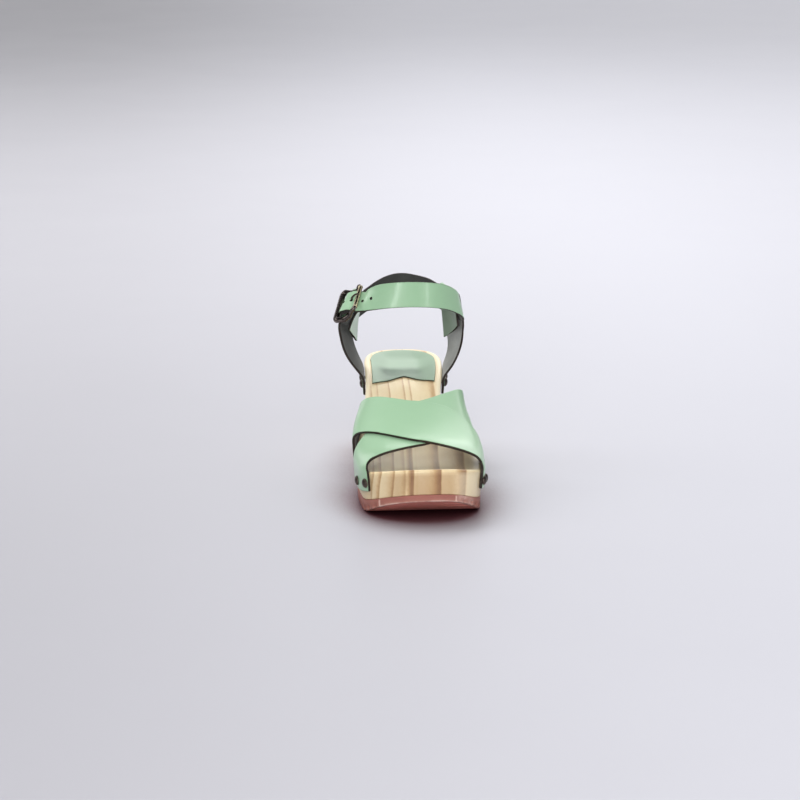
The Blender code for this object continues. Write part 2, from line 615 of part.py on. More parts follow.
def buckle_axes():
    """Foot of the centre bar on the ring, outward, along the strap (rearward) and up along the bar."""
    q = np.linspace(0, BELT_W, 5)
    foot = ring(square_turn(BAR_TURN, q), 0, q)
    up = (foot[-1] - foot[0]) / np.linalg.norm(foot[-1] - foot[0])
    n = ring_frame(BAR_TURN)[1]
    n = n - up * np.dot(n, up)
    n /= np.linalg.norm(n)
    along = np.cross(n, up)
    if along[1] > 0:
        along = -along
    g = math.radians(BUCKLE_SWING)
    n, along = n * math.cos(g) - along * math.sin(g), along * math.cos(g) + n * math.sin(g)
    return foot.mean(0), n, along, up


FOOT, BUCKLE_N, BUCKLE_ALONG, BUCKLE_UP = buckle_axes()
PER_TURN = np.linalg.norm(ring(BAR_TURN + 0.5, 0, BELT_W / 2) - ring(BAR_TURN - 0.5, 0, BELT_W / 2))   # mm per degree at the bar


def belt_point(turn, out, up):
    """Point of the ankle strap: the ring, drawn flat where it lies in the buckle."""
    turn, out, up = np.broadcast_arrays(np.asarray(turn, float), np.asarray(out, float), np.asarray(up, float))
    away = (turn - BAR_TURN + 180.0) % 360.0 - 180.0
    share = (1 - smooth(FLAT_NEAR, FLAT_FAR, np.abs(away)))[..., None]
    flat = (FOOT + BUCKLE_UP * (up - BELT_W / 2)[..., None] - BUCKLE_ALONG * (away * PER_TURN)[..., None]
            + BUCKLE_N * out[..., None])
    return ring(square_turn(turn, up), out, up) * (1 - share) + flat * share


def belt_path():
    """Lining face of the ankle strap as rows of (turn, out): wrap round the bar, ring, tail over the wrap."""
    wrap_r = BAR_R + 0.3 + BELT_T
    rows = [(BAR_TURN - 4.0 / PER_TURN, BAR_OUT + wrap_r), (BAR_TURN - 2.0 / PER_TURN, BAR_OUT + wrap_r)]
    for a in np.linspace(90, -90, 9):
        rows.append((BAR_TURN + wrap_r * math.cos(math.radians(a)) / PER_TURN, BAR_OUT + wrap_r * math.sin(math.radians(a))))
    rows += [(b, 0.0) for b in np.concatenate([np.linspace(BAR_TURN - 5, BAR_TURN - 30, 8), np.linspace(BAR_TURN - 35, -352, 40)])]
    tail = [(-q[0], q[1]) for q in TAIL]
    for b in np.concatenate([np.linspace(-8, -38, 6), np.linspace(-42, -84, 22), np.linspace(-88, TAIL_END, 8)]):
        rows.append((b - 360.0, float(spline(tail, -b)[0])))
    return np.asarray(rows)


def build_belt():
    rows = belt_path()
    base = belt_point(rows[:, :1], rows[:, 1:], np.linspace(0, BELT_W, 5)[None, :])
    n = grid_normals(base)
    k = len(rows) // 2
    if np.dot(n[k, 2], ring_frame(rows[k, 0])[1]) < 0:
        n = -n
    return sheet("ankle_strap", base, base + n * BELT_T, LEATHER)


def bar(path, width_dir, thick_dir, w, t, closed=False):
    """Swept rectangular bar with bevelled corners along a path of points."""
    prof = [(-0.5, -0.28), (-0.28, -0.5), (0.28, -0.5), (0.5, -0.28), (0.5, 0.28), (0.28, 0.5), (-0.28, 0.5), (-0.5, 0.28)]
    pts, faces = [], []
    for p, wd in zip(path, width_dir):
        for a, b in prof:
            pts.append(np.asarray(p) + np.asarray(wd) * a * w + np.asarray(thick_dir) * b * t)
    n, m = len(path), len(prof)
    for i in range(n if closed else n - 1):
        for q in range(m):
            j = (i + 1) % n
            faces.append((i * m + q, i * m + (q + 1) % m, j * m + (q + 1) % m, j * m + q))
    if not closed:
        faces += [tuple(range(m))[::-1], tuple(range((n - 1) * m, n * m))]
    return pts, faces


FRAME_OUT = 7.3           # frame members' centre from the ring
FRAME_DIP = 3.1           # how far the long members bow in to the centre bar


def build_buckle():
    c, n, along, up = FOOT, BUCKLE_N, BUCKLE_ALONG, BUCKLE_UP
    hw, hh, r = FRAME_W / 2 - FRAME_BAR / 2, FRAME_H / 2 - FRAME_BAR / 2, 3.2
    path, wdir = [], []
    corners = [(hw - r, hh - r, 0), (-hw + r, hh - r, 90), (-hw + r, -hh + r, 180), (hw - r, -hh + r, 270)]
    for k, (a, u, start) in enumerate(corners):
        for q in (0, 30, 60, 90):
            g = math.radians(start + q)
            pa, pu = a + r * math.cos(g), u + r * math.sin(g)
            path.append((pa, pu))
            wdir.append((math.cos(g), math.sin(g)))
        if k in (0, 2):
            y = path[-1][1]
            for x in ((3.6, 0.0, -3.6) if k == 0 else (-3.6, 0.0, 3.6)):
                path.append((x, y))
                wdir.append((0.0, 1.0 if k == 0 else -1.0))
    P, Wd = [], []
    for (pa, pu), (wa, wu) in zip(path, wdir):
        o = FRAME_OUT - FRAME_DIP * (1 - smooth(2.0, 8.5, abs(pa)))
        P.append(c + n * o + along * pa + up * pu)
        Wd.append(along * wa + up * wu)
    ob = mesh_object("buckle_frame", *bar(P, Wd, n, FRAME_BAR, FRAME_T, closed=True), METAL)
    ends = [c + n * BAR_OUT + up * u for u in (-hh, hh)]
    rod = turned([(0, 0), (BAR_R, 0), (BAR_R, 2 * hh), (0, 2 * hh)], ends[0], up, 12)
    boolean(ob, mesh_object("buckle_centre_bar", *rod, METAL, guide=True), "UNION")
    # prong: from its hole in the strap, over the front member
    a = c + n * (FRAME_OUT + 0.2) - along * 4.6
    b = c + n * (FRAME_OUT + FRAME_T / 2 + GAP + PRONG_R) - along * (hw - 0.5)
    d = (b - a) / np.linalg.norm(b - a)
    length = np.linalg.norm(b - a) + 3.4
    prong = turned([(0, 0), (PRONG_R, 0), (PRONG_R, length - 1.2), (PRONG_R * 0.6, length - 0.2), (0, length)], a, d, 10)
    mesh_object("buckle_prong", *prong, METAL)
    hole = turned([(0, -1.2), (PRONG_R + GAP, -1.2), (PRONG_R + GAP, length + 2), (0, length + 2)], a, d, 10)
    return ob, mesh_object("prong_hole", *hole, LEATHER, guide=True, flat=True)


# ------------------------------------------------------------------ assembly
wood = build_wood()
build_outsole()
build_lift()
build_pad()

under_in, under_out = vamp_band("under")
over_in, over_out = vamp_band("over")
vamp = sheet("vamp_cross_straps", over_in, over_out, LEATHER)
boolean(vamp, sheet("vamp_under_strap", under_in, under_out, LEATHER, guide=True), "UNION")
for strap, side, tag in (("over", "lateral", "rear"), ("under", "lateral", "front"), ("over", "medial", "front"), ("under", "medial", "rear")):
    turn = -98.0 if side == "lateral" else 98.0
    for k, share in enumerate(NAIL_SHARES[strap, side]):
        e = spline(STRAPS, turn)
        c = 0 if strap == "over" else 2
        p, n = wall_frame(float(e[c] + (e[c + 1] - e[c]) * share), 8.0, side)
        nail_at("nail_%s_%s_%d" % (side, tag, k + 1), VAMP_T, p, n)

side_lat = side_strap("lateral")
side_med = side_strap("medial")
belt = build_belt()
buckle, prong_hole = build_buckle()
boolean(belt, prong_hole, "DIFFERENCE")

names = [q[0] for q in NAILS]
R_HOLE = NAIL_SHANK_R + GAP
boolean(wood, nail_holes("holes_wood", names, R_HOLE), "DIFFERENCE")
boolean(vamp, nail_holes("holes_vamp", [q for q in names if "heel" not in q], R_HOLE), "DIFFERENCE")
boolean(side_lat, nail_holes("holes_side_lateral", [q for q in names if "heel_lateral" in q], R_HOLE), "DIFFERENCE")
boolean(side_med, nail_holes("holes_side_medial", [q for q in names if "heel_medial" in q], R_HOLE), "DIFFERENCE")
build_nails()

# the shoe's origin is the centre of its box, on the floor
solid = [ob for ob in BODIES if not ob.hide_render]
box = np.array([[f([v.co[a] for v in ob.data.vertices]) for a in range(3)] for ob in solid for f in (min, max)])
SHIFT = -np.array([(box[:, 0].min() + box[:, 0].max()) / 2, (box[:, 1].min() + box[:, 1].max()) / 2, 0.0])
for ob in BODIES:
    for v in ob.data.vertices:
        v.co.x += SHIFT[0]
        v.co.y += SHIFT[1]
print("origin shift (mm):", SHIFT * 1000)
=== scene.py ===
"""Looks of the wooden-soled strap sandal: fine meshes, materials, floor, light and the photo's camera.

Lengths are millimetres in the shoe's own axes (x medial, s forward from the heel's back, z up) and become metres in world().
"""
import math

import bmesh
import bpy
import numpy as np
from mathutils import Matrix, Vector

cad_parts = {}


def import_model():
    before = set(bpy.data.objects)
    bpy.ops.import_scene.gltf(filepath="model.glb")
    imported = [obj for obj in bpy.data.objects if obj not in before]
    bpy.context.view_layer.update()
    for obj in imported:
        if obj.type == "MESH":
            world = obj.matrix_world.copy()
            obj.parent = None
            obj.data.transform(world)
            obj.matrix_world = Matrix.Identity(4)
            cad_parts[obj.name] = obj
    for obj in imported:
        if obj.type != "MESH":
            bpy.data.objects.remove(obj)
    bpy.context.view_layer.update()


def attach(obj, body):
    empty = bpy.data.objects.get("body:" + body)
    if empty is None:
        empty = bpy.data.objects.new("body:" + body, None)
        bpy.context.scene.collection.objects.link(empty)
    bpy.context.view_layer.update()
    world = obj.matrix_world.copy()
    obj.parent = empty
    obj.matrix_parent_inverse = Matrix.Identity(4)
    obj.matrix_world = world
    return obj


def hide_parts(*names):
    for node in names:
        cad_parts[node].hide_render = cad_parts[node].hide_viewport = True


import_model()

# ------------------------------------------------------------------ the part's sizes (mm)
LENGTH, GAP, DRAFT, RIM_ROUND, LIFT_T = 250.0, 0.35, 0.065, 2.0, 6.0
HEEL_FRONT, BREAST_TOP, SOLE_REAR = 58.0, 70.0, 130.0
VAMP_T, STRAP_END, SIDE_T, BELT_T, BELT_W = 2.2, 14.5, 2.0, 1.8, 20.0
PAD_T, PAD_GAP, PAD_SIDE, PAD_BACK, PAD_CORNER_S, PAD_NOTCH_S = 1.0, 0.45, 5.2, 6.5, 76.5, 59.5
NAIL_HEAD_R, BAR_R = 3.6, 1.2
FRAME_H, FRAME_W, FRAME_BAR, FRAME_T, PRONG_R, FRAME_OUT, FRAME_DIP = 30.0, 24.0, 2.7, 2.4, 1.0, 7.3, 3.1
BAR_TURN, BUCKLE_SWING, TAIL_END, FLAT_NEAR, FLAT_FAR = -66.0, -4.0, -116.0, 12.0, 24.0
BAR_OUT = BAR_R + 0.3 + BELT_T
TOE_START, TOE_POWER, HEEL_START, HEEL_POWER = 206.0, 2.5, 42.0, 2.6
SIDE_FRONT_S, SIDE_REAR_S = 66.0, 42.0
ORIGIN_X, ORIGIN_S = 3.67607176, 125.0

OUTLINE = [(0, 31.2, 31.2), (35, 31.3, 31.3), (65, 32.2, 28.8), (90, 34.0, 25.6), (107, 36.0, 26.4), (130, 39.8, 31.5),
           (150, 44.4, 38.5), (172, 46.8, 44.8), (190, 46.3, 47.0), (207, 45.4, 46.4), (225, 43.6, 44.0), (250, 40.0, 40.0)]
AXIS = [(0, 0.0), (60, 1.0), (100, -3.0), (150, -1.0), (200, 3.0), (250, 9.0)]
RIM = [(0, 78.0), (25, 77.0), (50, 73.5), (75, 67.5), (100, 58.0), (125, 47.0), (150, 37.8), (172, 32.6), (192, 31.0),
       (212, 32.0), (232, 36.0), (250, 41.4)]
DISH = [(0, 4.5), (45, 4.5), (90, 2.6), (150, 2.0), (190, 2.0), (225, 1.2), (250, 0.6)]
WOOD_UNDER = [(70, 47.0), (85, 44.5), (100, 38.0), (125, 22.0), (145, 13.0), (165, 10.2), (185, 9.9), (205, 10.0), (220, 11.8),
              (235, 16.2), (250, 22.4)]
RUBBER_UNDER = [(130, 13.5), (140, 7.2), (150, 2.6), (160, 0.0), (195, 0.0), (207, 0.0), (213, 0.8), (225, 4.8), (237, 10.4),
                (250, 16.6)]
LAST = [(105, 34.0, 0.0, 13.0, 2.35, 4.4), (120, 33.0, 0.0, 11.5, 2.35, 4.0), (135, 31.5, 1.0, 9.0, 2.35, 3.4),
        (150, 29.0, 2.4, 6.5, 2.35, 2.9), (165, 25.5, 2.4, 4.0, 2.35, 2.6), (180, 21.0, 2.0, 3.0, 2.35, 2.4),
        (195, 16.4, 1.6, 2.4, 2.35, 2.2), (210, 13.6, 1.0, 1.8, 2.35, 2.0), (225, 12.0, 0.5, 1.0, 2.35, 1.9)]
STRAPS = [(-105, 121, 158, 184, 227.5), (-90, 122.5, 160, 182, 227.0), (-60, 130, 168, 177, 219), (-30, 140, 181.5, 163, 209.5),
          (0, 149.5, 196.5, 149.0, 199), (30, 156, 208, 135, 183), (60, 170, 216, 123, 167), (90, 183, 221.5, 116, 156),
          (105, 184.5, 222, 114, 154.5)]
RING_X, RING_S, RING_AX, RING_AS = -1.5, 58.0, 43.0, 36.0
RING = [(-225, 120.5, 6, 0), (-180, 125.8, 6, 0), (-160, 122.3, 6, 0), (-145, 117.2, 6, 0), (-125, 111.5, 8, 0), (-108, 109.6, 14, -0.6),
        (-90, 111.2, 31, 2.8), (-68, 119.3, 37, 6.5), (-50, 125.8, 34, 4.5), (-30, 129.8, 20, 1.5), (0, 132, 10, 0), (35, 129.5, 8, 0),
        (62, 123.5, 8.5, 0.7), (75, 118.9, 11, 3.0), (88, 113.5, 12.5, 4.2), (108, 112, 10, 3.2), (125, 115, 7, 1.0), (145, 121.5, 6, 0),
        (160, 124, 6, 0), (180, 125.8, 6, 0), (225, 116, 6, 0)]
TAIL = [(-6, 0.0), (-30, 0.0), (-44, 0.3), (-50, 1.4), (-53.4, 2.6), (-56.5, 4.0), (-59.2, 5.6), (-61.3, 6.6), (-63.3, 6.95), (-66, 7.0),
        (-71.8, 7.0), (-74.1, 5.8), (-76.8, 4.1), (-78.6, 3.3), (-82.2, 2.6), (-93, 2.2), (-116, 2.2)]
RISE = {"lateral": [(-38.6, 66.5, 77.0, -35.0, 43.0, 81.0), (-46.4, 65.5, 88.5, -38.6, 42.0, 90.0)],
        "medial": [(35.0, 66.5, 77.0, 33.8, 43.0, 81.0), (41.2, 65.5, 88.5, 35.6, 42.0, 90.0)]}
LOOPS = {"lateral": (-93.0, -122.0, 2 * BELT_T + 2 * GAP + 1.2, -1.0, -3.0, -15.5),
         "medial": (101.0, 131.0, BELT_T + GAP, -0.4, -4.0, -20.0)}
FLAP_LEAN, FLAP_TAPER, FRAME_ROLL = 0.4, 5.0, 13.0
# nails in each strap end: share of the strap's width from its rear edge
NAIL_SHARES = {("over", "lateral"): (0.15, 0.55), ("under", "lateral"): (0.53, 0.94), ("over", "medial"): (0.65, 0.93), ("under", "medial"): (0.2, 0.8)}
# punched holes in the ankle strap's outer layer: turn
HOLES = (-39.9, -49.8, -60.4, -71.2)


# ------------------------------------------------------------------ shape helpers
def spline(table, u):
    t = np.asarray(table, float)
    X, Y = t[:, 0], t[:, 1:]
    n, h = len(X), np.diff(X)
    A, R = np.eye(n), np.zeros((n, Y.shape[1]))
    for i in range(1, n - 1):
        A[i, i - 1], A[i, i], A[i, i + 1] = h[i - 1], 2 * (h[i - 1] + h[i]), h[i]
        R[i] = 6 * ((Y[i + 1] - Y[i]) / h[i] - (Y[i] - Y[i - 1]) / h[i - 1])
    M = np.linalg.solve(A, R)
    u = np.asarray(u, float)
    shape, u = u.shape, u.ravel()
    k = np.clip(np.searchsorted(X, u) - 1, 0, n - 2)
    d, hk = (u - X[k])[:, None], h[k][:, None]
    slope = (Y[k + 1] - Y[k]) / hk - hk * (2 * M[k] + M[k + 1]) / 6
    out = Y[k] + slope * d + M[k] / 2 * d ** 2 + (M[k + 1] - M[k]) / (6 * hk) * d ** 3
    return out.reshape(shape + (Y.shape[1],))


def smooth(a, b, v):
    t = np.clip((np.asarray(v, float) - a) / (b - a), 0, 1)
    return t * t * (3 - 2 * t)


def hump(v, centre, width):
    return np.exp(-((np.asarray(v, float) - centre) / width) ** 2)


def closing(s):
    toe = np.clip((s - TOE_START) / (LENGTH - TOE_START), 0, 1)
    heel = np.clip((HEEL_START - s) / HEEL_START, 0, 1)
    return (1 - toe ** TOE_POWER) ** (1 / TOE_POWER) * (1 - heel ** HEEL_POWER) ** (1 / HEEL_POWER)


def edges(s):
    s = np.asarray(s, float)
    o, c, k = spline(OUTLINE, s), spline(AXIS, s)[..., 0], closing(s)
    return c - (o[..., 0] + c) * k, c + (o[..., 1] - c) * k


def rim(s):
    return spline(RIM, s)[..., 0]


def footbed(x, s):
    xl, xr = edges(s)
    half = np.maximum((xr - xl) / 2, 1e-6)
    across = np.abs(x - (xl + xr) / 2) / half
    ends = smooth(1.5, 24, s) * smooth(2, 18, LENGTH - s)
    return rim(s) - spline(DISH, s)[..., 0] * (1 - smooth(0.30, 0.97, across)) * ends


def under(s):
    s = np.asarray(s, float)
    flat = LIFT_T + GAP
    arch = spline(WOOD_UNDER, np.maximum(s, BREAST_TOP))[..., 0]
    f = np.clip((s - HEEL_FRONT) / (BREAST_TOP - HEEL_FRONT), 0, 1)
    return np.where(s <= HEEL_FRONT, flat, np.where(s < BREAST_TOP, flat + (arch - flat) * f, arch))


def last(turn, s):
    turn, s = np.broadcast_arrays(np.asarray(turn, float), np.asarray(s, float))
    xl, xr = edges(s)
    row = spline(LAST, s)
    p = np.radians(np.clip(turn, -90, 90))
    below = np.clip(np.abs(turn) - 90, 0, None)
    lateral = p < 0
    power = np.where(lateral, row[..., 3], row[..., 4])
    across = np.abs(np.sin(p)) ** (2 / power)
    up = np.clip(np.cos(p), 0, 1) ** (2 / power)
    half = (xr - xl) / 2 + GAP + 0.1
    bulge = np.where(lateral, row[..., 1], row[..., 2]) * smooth(0.0, 0.75, up)
    x = (xl + xr) / 2 + np.sign(p) * across * (half + bulge) - np.sign(p) * DRAFT * below
    return np.stack([x, s, rim(s) + row[..., 0] * up - below], -1)


def ring_frame(turn):
    turn = np.asarray(turn, float)
    wrapped = (turn + 180.0) % 360.0 - 180.0
    t = np.radians(turn)
    row = spline(RING, wrapped)
    n = np.stack([np.sin(t) / RING_AX, np.cos(t) / RING_AS, 0 * t], -1)
    n /= np.linalg.norm(n, axis=-1, keepdims=True)
    tilt = np.radians(row[..., 1:2])
    z = np.array([0.0, 0.0, 1.0])
    base = np.stack([RING_X + RING_AX * np.sin(t), RING_S + RING_AS * np.cos(t), row[..., 0]], -1) + n * row[..., 2:3]
    return base, n * np.cos(tilt) + z * np.sin(tilt), z * np.cos(tilt) - n * np.sin(tilt)


def ring(turn, out, up):
    turn, out, up = np.broadcast_arrays(np.asarray(turn, float), np.asarray(out, float), np.asarray(up, float))
    base, n, w = ring_frame(turn)
    z = np.array([0.0, 0.0, 1.0])
    return base + n * out[..., None] + w * np.clip(up, 0, None)[..., None] + z * np.clip(up, None, 0)[..., None]


def grid_normals(P):
    du, dv = np.gradient(P, axis=0), np.gradient(P, axis=1)
    n = np.cross(du, dv)
    return n / np.maximum(np.linalg.norm(n, axis=-1, keepdims=True), 1e-9)


def edge_samples(length, r, count):
    """0..1 with extra samples inside the rounding at both ends."""
    near = np.array([0.0, 0.06, 0.2, 0.45, 0.8, 1.25]) * r / length
    return np.concatenate([near, np.linspace(near[-1], 1 - near[-1], count)[1:-1], 1 - near[::-1]])


def resample(rows, r, step):
    """Smooth curve along axis 0 of a grid of points, sampled evenly and finely at both ends."""
    n, m = rows.shape[:2]
    mid = rows[:, m // 2]
    at = np.concatenate([[0], np.cumsum(np.linalg.norm(np.diff(mid, axis=0), axis=1))])
    u = edge_samples(at[-1], r, max(8, int(at[-1] / step))) * at[-1]
    return spline(np.column_stack([at, rows.reshape(n, -1)]), u).reshape(len(u), m, 3)


# ------------------------------------------------------------------ meshes
def world(points):
    p = np.asarray(points, float)
    return np.stack([(p[..., 0] + ORIGIN_X), (ORIGIN_S - p[..., 1]), p[..., 2]], -1) * 1e-3


def piece(name, verts, faces, mats, index=None, nodes=(), slot=None, attrs=None, angle=38.0, weld=True):
    """Mesh piece on the root body, standing for the CAD nodes named."""
    v = world(verts)
    bm = bmesh.new()
    layers = {key: bm.verts.layers.float.new(key) for key in (attrs or {})}
    bv = [bm.verts.new(p) for p in v]
    for key, layer in layers.items():
        for q, a in zip(bv, attrs[key]):
            q[layer] = float(a)
    for k, f in enumerate(faces):
        g = [a for n, a in enumerate(f) if a != f[n - 1]]
        if len(set(g)) == len(g) and len(g) > 2:
            face = bm.faces.new([bv[a] for a in g])
            face.material_index = 0 if index is None else int(index[k])
    if weld:
        bmesh.ops.remove_doubles(bm, verts=bm.verts, dist=1e-7)
        bmesh.ops.dissolve_degenerate(bm, edges=bm.edges, dist=1e-7)
    loose = [q for q in bm.verts if not q.link_faces]
    bmesh.ops.delete(bm, geom=loose, context="VERTS")
    bmesh.ops.recalc_face_normals(bm, faces=bm.faces)
    if bm.calc_volume(signed=True) < 0:
        bmesh.ops.reverse_faces(bm, faces=bm.faces)
    me = bpy.data.meshes.new(name)
    bm.to_mesh(me)
    bm.free()
    for m in mats:
        me.materials.append(m)
    me.shade_smooth()
    me.set_sharp_from_angle(angle=math.radians(angle))
    ob = bpy.data.objects.new(name, me)
    bpy.context.scene.collection.objects.link(ob)
    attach(ob, "root")
    if nodes:
        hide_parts(*nodes)
    return ob


def leather(name, P, T, mats, outward, nodes, slot, r=0.65, r2=0.35, ink=0.3, relief=None, extra=None):
    """Leather strap on a grid of lining points: rounded cut edges, grain side, inked edge and lining."""
    n = grid_normals(P)
    i, j, ref = outward
    if np.dot(n[i, j], ref) < 0:
        n = -n
    cu = np.concatenate([np.zeros((1, P.shape[1])), np.cumsum(np.linalg.norm(np.diff(P, axis=0), axis=-1), axis=0)])
    cv = np.concatenate([np.zeros((P.shape[0], 1)), np.cumsum(np.linalg.norm(np.diff(P, axis=1), axis=-1), axis=1)], axis=1)
    d = np.minimum(np.minimum(cu, cu[-1:] - cu), np.minimum(cv, cv[:, -1:] - cv))
    if relief is not None:
        P = P + n * relief[..., None]
    ho = T - r + np.sqrt(np.clip(r * r - np.clip(r - d, 0, None) ** 2, 0, None))
    hi = r2 - np.sqrt(np.clip(r2 * r2 - np.clip(r2 - d, 0, None) ** 2, 0, None))
    inner, outer = P + n * hi[..., None], P + n * ho[..., None]
    a, b = P.shape[:2]
    idx = np.arange(a * b).reshape(a, b)
    k = a * b
    faces, index = [], []
    for p in range(a - 1):
        for q in range(b - 1):
            f = (idx[p, q], idx[p, q + 1], idx[p + 1, q + 1], idx[p + 1, q])
            deep = d.ravel()[list(f)].max()
            faces += [f[::-1], tuple(x + k for x in f)]
            index += [2 if deep > 0.15 else 1, 0 if deep > ink else 1]
    line = [idx[p, 0] for p in range(a)] + [idx[a - 1, q] for q in range(1, b)]
    line += [idx[p, b - 1] for p in range(a - 2, -1, -1)] + [idx[0, q] for q in range(b - 2, 0, -1)]
    for x, y in zip(line, line[1:] + line[:1]):
        faces.append((x, y, y + k, x + k))
        index.append(1)
    reach = np.clip(d / 6.0, 0, 1).ravel()
    attrs = {"reach": np.concatenate([reach, reach])}
    for key, value in (extra or {}).items():
        attrs[key] = np.concatenate([value.ravel(), value.ravel()])
    return piece(name, np.concatenate([inner.reshape(-1, 3), outer.reshape(-1, 3)]), faces, mats, index, nodes, slot, attrs)


def turned(profile, base, axis, segments=28, wobble=None):
    axis = np.asarray(axis, float) / np.linalg.norm(axis)
    side = np.cross(axis, (0, 0, 1) if abs(axis[2]) < 0.9 else (1, 0, 0))
    side /= np.linalg.norm(side)
    other = np.cross(axis, side)
    pts, faces, rows = [], [], []
    for r, h in profile:
        if r == 0:
            rows.append([len(pts)] * segments)
            pts.append(np.asarray(base) + axis * h)
        else:
            rows.append(list(range(len(pts), len(pts) + segments)))
            for q in range(segments):
                a = 2 * math.pi * q / segments
                rr = r * (1 + (wobble(a, h) if wobble else 0.0))
                pts.append(np.asarray(base) + axis * h + rr * (math.cos(a) * side + math.sin(a) * other))
    for a, b in zip(rows, rows[1:]):
        for q in range(segments):
            w = (q + 1) % segments
            faces.append(tuple(dict.fromkeys([a[q], a[w], b[w], b[q]])))
    return pts, faces


def swept(path, sides, normals, sizes, points=16, power=3.0, closed=False):
    """Bar with a rounded rectangular section along a path: sides and normals span the section, sizes are its width and thickness."""
    pts, faces = [], []
    for p, wd, td, (w, t) in zip(path, sides, normals, sizes):
        for q in range(points):
            a = 2 * math.pi * q / points
            c, s = math.cos(a), math.sin(a)
            pts.append(np.asarray(p) + np.asarray(wd) * math.copysign(abs(c) ** (2 / power), c) * w / 2
                       + np.asarray(td) * math.copysign(abs(s) ** (2 / power), s) * t / 2)
    n = len(path)
    for i in range(n if closed else n - 1):
        for q in range(points):
            j = (i + 1) % n
            faces.append((i * points + q, i * points + (q + 1) % points, j * points + (q + 1) % points, j * points + q))
    if not closed:
        faces += [tuple(range(points))[::-1], tuple(range((n - 1) * points, n * points))]
    return pts, faces


# ------------------------------------------------------------------ materials
def srgb(r, g, b):
    return tuple(((c / 255 / 12.92) if c <= 10 else ((c / 255 + 0.055) / 1.055) ** 2.4) for c in (r, g, b)) + (1.0,)


class Shade:
    """Short hand for one node material in object coordinates (metres)."""

    def __init__(self, name, **values):
        self.m = bpy.data.materials.new(name)
        self.m.use_nodes = True
        self.t = self.m.node_tree
        self.b = self.t.nodes["Principled BSDF"]
        for key, v in values.items():
            self.b.inputs[key.replace("_", " ")].default_value = v
        self.at = self.t.nodes.new("ShaderNodeTexCoord").outputs["Object"]

    def node(self, kind, **props):
        n = self.t.nodes.new("ShaderNode" + kind)
        for key, v in props.items():
            setattr(n, key, v)
        return n

    def put(self, socket, value):
        if isinstance(value, bpy.types.NodeSocket):
            self.t.links.new(value, socket)
        elif value is not None:
            socket.default_value = value

    def set(self, name, value):
        self.put(self.b.inputs[name], value)

    def stretch(self, x, y, z, source=None):
        n = self.node("Mapping")
        self.put(n.inputs["Vector"], source or self.at)
        n.inputs["Scale"].default_value = (x, y, z)
        return n.outputs["Vector"]

    def noise(self, scale, detail=3.0, rough=0.55, source=None, distortion=0.0):
        n = self.node("TexNoise")
        self.put(n.inputs["Vector"], source or self.at)
        n.inputs["Scale"].default_value = scale
        n.inputs["Detail"].default_value = detail
        n.inputs["Roughness"].default_value = rough
        n.inputs["Distortion"].default_value = distortion
        return n.outputs["Fac"]

    def cells(self, scale, feature="F1", source=None):
        n = self.node("TexVoronoi", feature=feature)
        self.put(n.inputs["Vector"], source or self.at)
        n.inputs["Scale"].default_value = scale
        return n.outputs["Distance"]

    def span(self, value, a, b, lo, hi, kind="LINEAR"):
        n = self.node("MapRange", interpolation_type=kind)
        self.put(n.inputs["Value"], value)
        for key, v in (("From Min", a), ("From Max", b), ("To Min", lo), ("To Max", hi)):
            n.inputs[key].default_value = v
        return n.outputs["Result"]

    def math(self, operation, a, b=None, c=None):
        n = self.node("Math", operation=operation)
        for socket, v in zip(n.inputs, (a, b, c)):
            self.put(socket, v)
        return n.outputs["Value"]

    def ramp(self, value, stops, kind="LINEAR"):
        n = self.node("ValToRGB")
        n.color_ramp.interpolation = kind
        e = n.color_ramp.elements
        while len(e) > 1:
            e.remove(e[0])
        for k, (at, colour) in enumerate(stops):
            q = e[0] if k == 0 else e.new(at)
            q.position, q.color = at, colour
        self.put(n.inputs["Fac"], value)
        return n.outputs["Color"]

    def mix(self, fac, a, b, blend="MIX"):
        n = self.node("Mix", data_type="RGBA", blend_type=blend)
        self.put(n.inputs[0], fac)
        self.put(n.inputs[6], a)
        self.put(n.inputs[7], b)
        return n.outputs[2]

    def attribute(self, name):
        return self.node("Attribute", attribute_name=name).outputs["Fac"]

    def bump(self, height, distance, strength=1.0, under=None):
        n = self.node("Bump")
        n.inputs["Strength"].default_value = strength
        n.inputs["Distance"].default_value = distance
        self.put(n.inputs["Height"], height)
        if under is not None:
            self.put(n.inputs["Normal"], under)
        return n.outputs["Normal"]

    def axes(self, source=None):
        n = self.node("SeparateXYZ")
        self.put(n.inputs[0], source or self.at)
        return n.outputs[0], n.outputs[1], n.outputs[2]


def mint_leather(name, light, deep, rough, coat, tint, grainy=0.13, painted_light_and_shade=None):
    s = Shade(name, Coat_Weight=coat, Coat_Roughness=0.16, Specular_IOR_Level=0.5)
    broad, fine = s.noise(38, 3), s.noise(420, 4)
    colour = s.ramp(s.math("ADD", s.span(broad, 0.15, 0.85, 0.05, 0.75), s.span(fine, 0.1, 0.9, 0.0, 0.2)), [(0.0, deep), (1.0, light)])
    reach = s.attribute("reach")
    colour = s.mix(s.span(reach, 0.0, 0.3, 0.5, 0.0, "SMOOTHSTEP"), colour, tint)
    # painted light and shade: a set colour is mixed in by a per-vertex mask on the pad and the side flaps
    if painted_light_and_shade:
        colour = s.mix(s.math("MULTIPLY", s.attribute("painted_light_and_shade"), s.span(broad, 0.3, 0.7, 0.7, 0.95)), colour, painted_light_and_shade)
    s.set("Base Color", colour)
    s.set("Roughness", s.span(s.math("ADD", broad, s.noise(900, 2)), 0.4, 1.6, rough - 0.01, rough + 0.07))
    grain = s.math("ADD", s.span(s.cells(1500), 0.0, 0.8, 0.0, 1.0), s.math("MULTIPLY", s.noise(2600, 2), 0.3))
    s.set("Normal", s.bump(grain, 0.00003, grainy, s.bump(s.noise(70, 2), 0.0004, 0.2)))
    return s.m


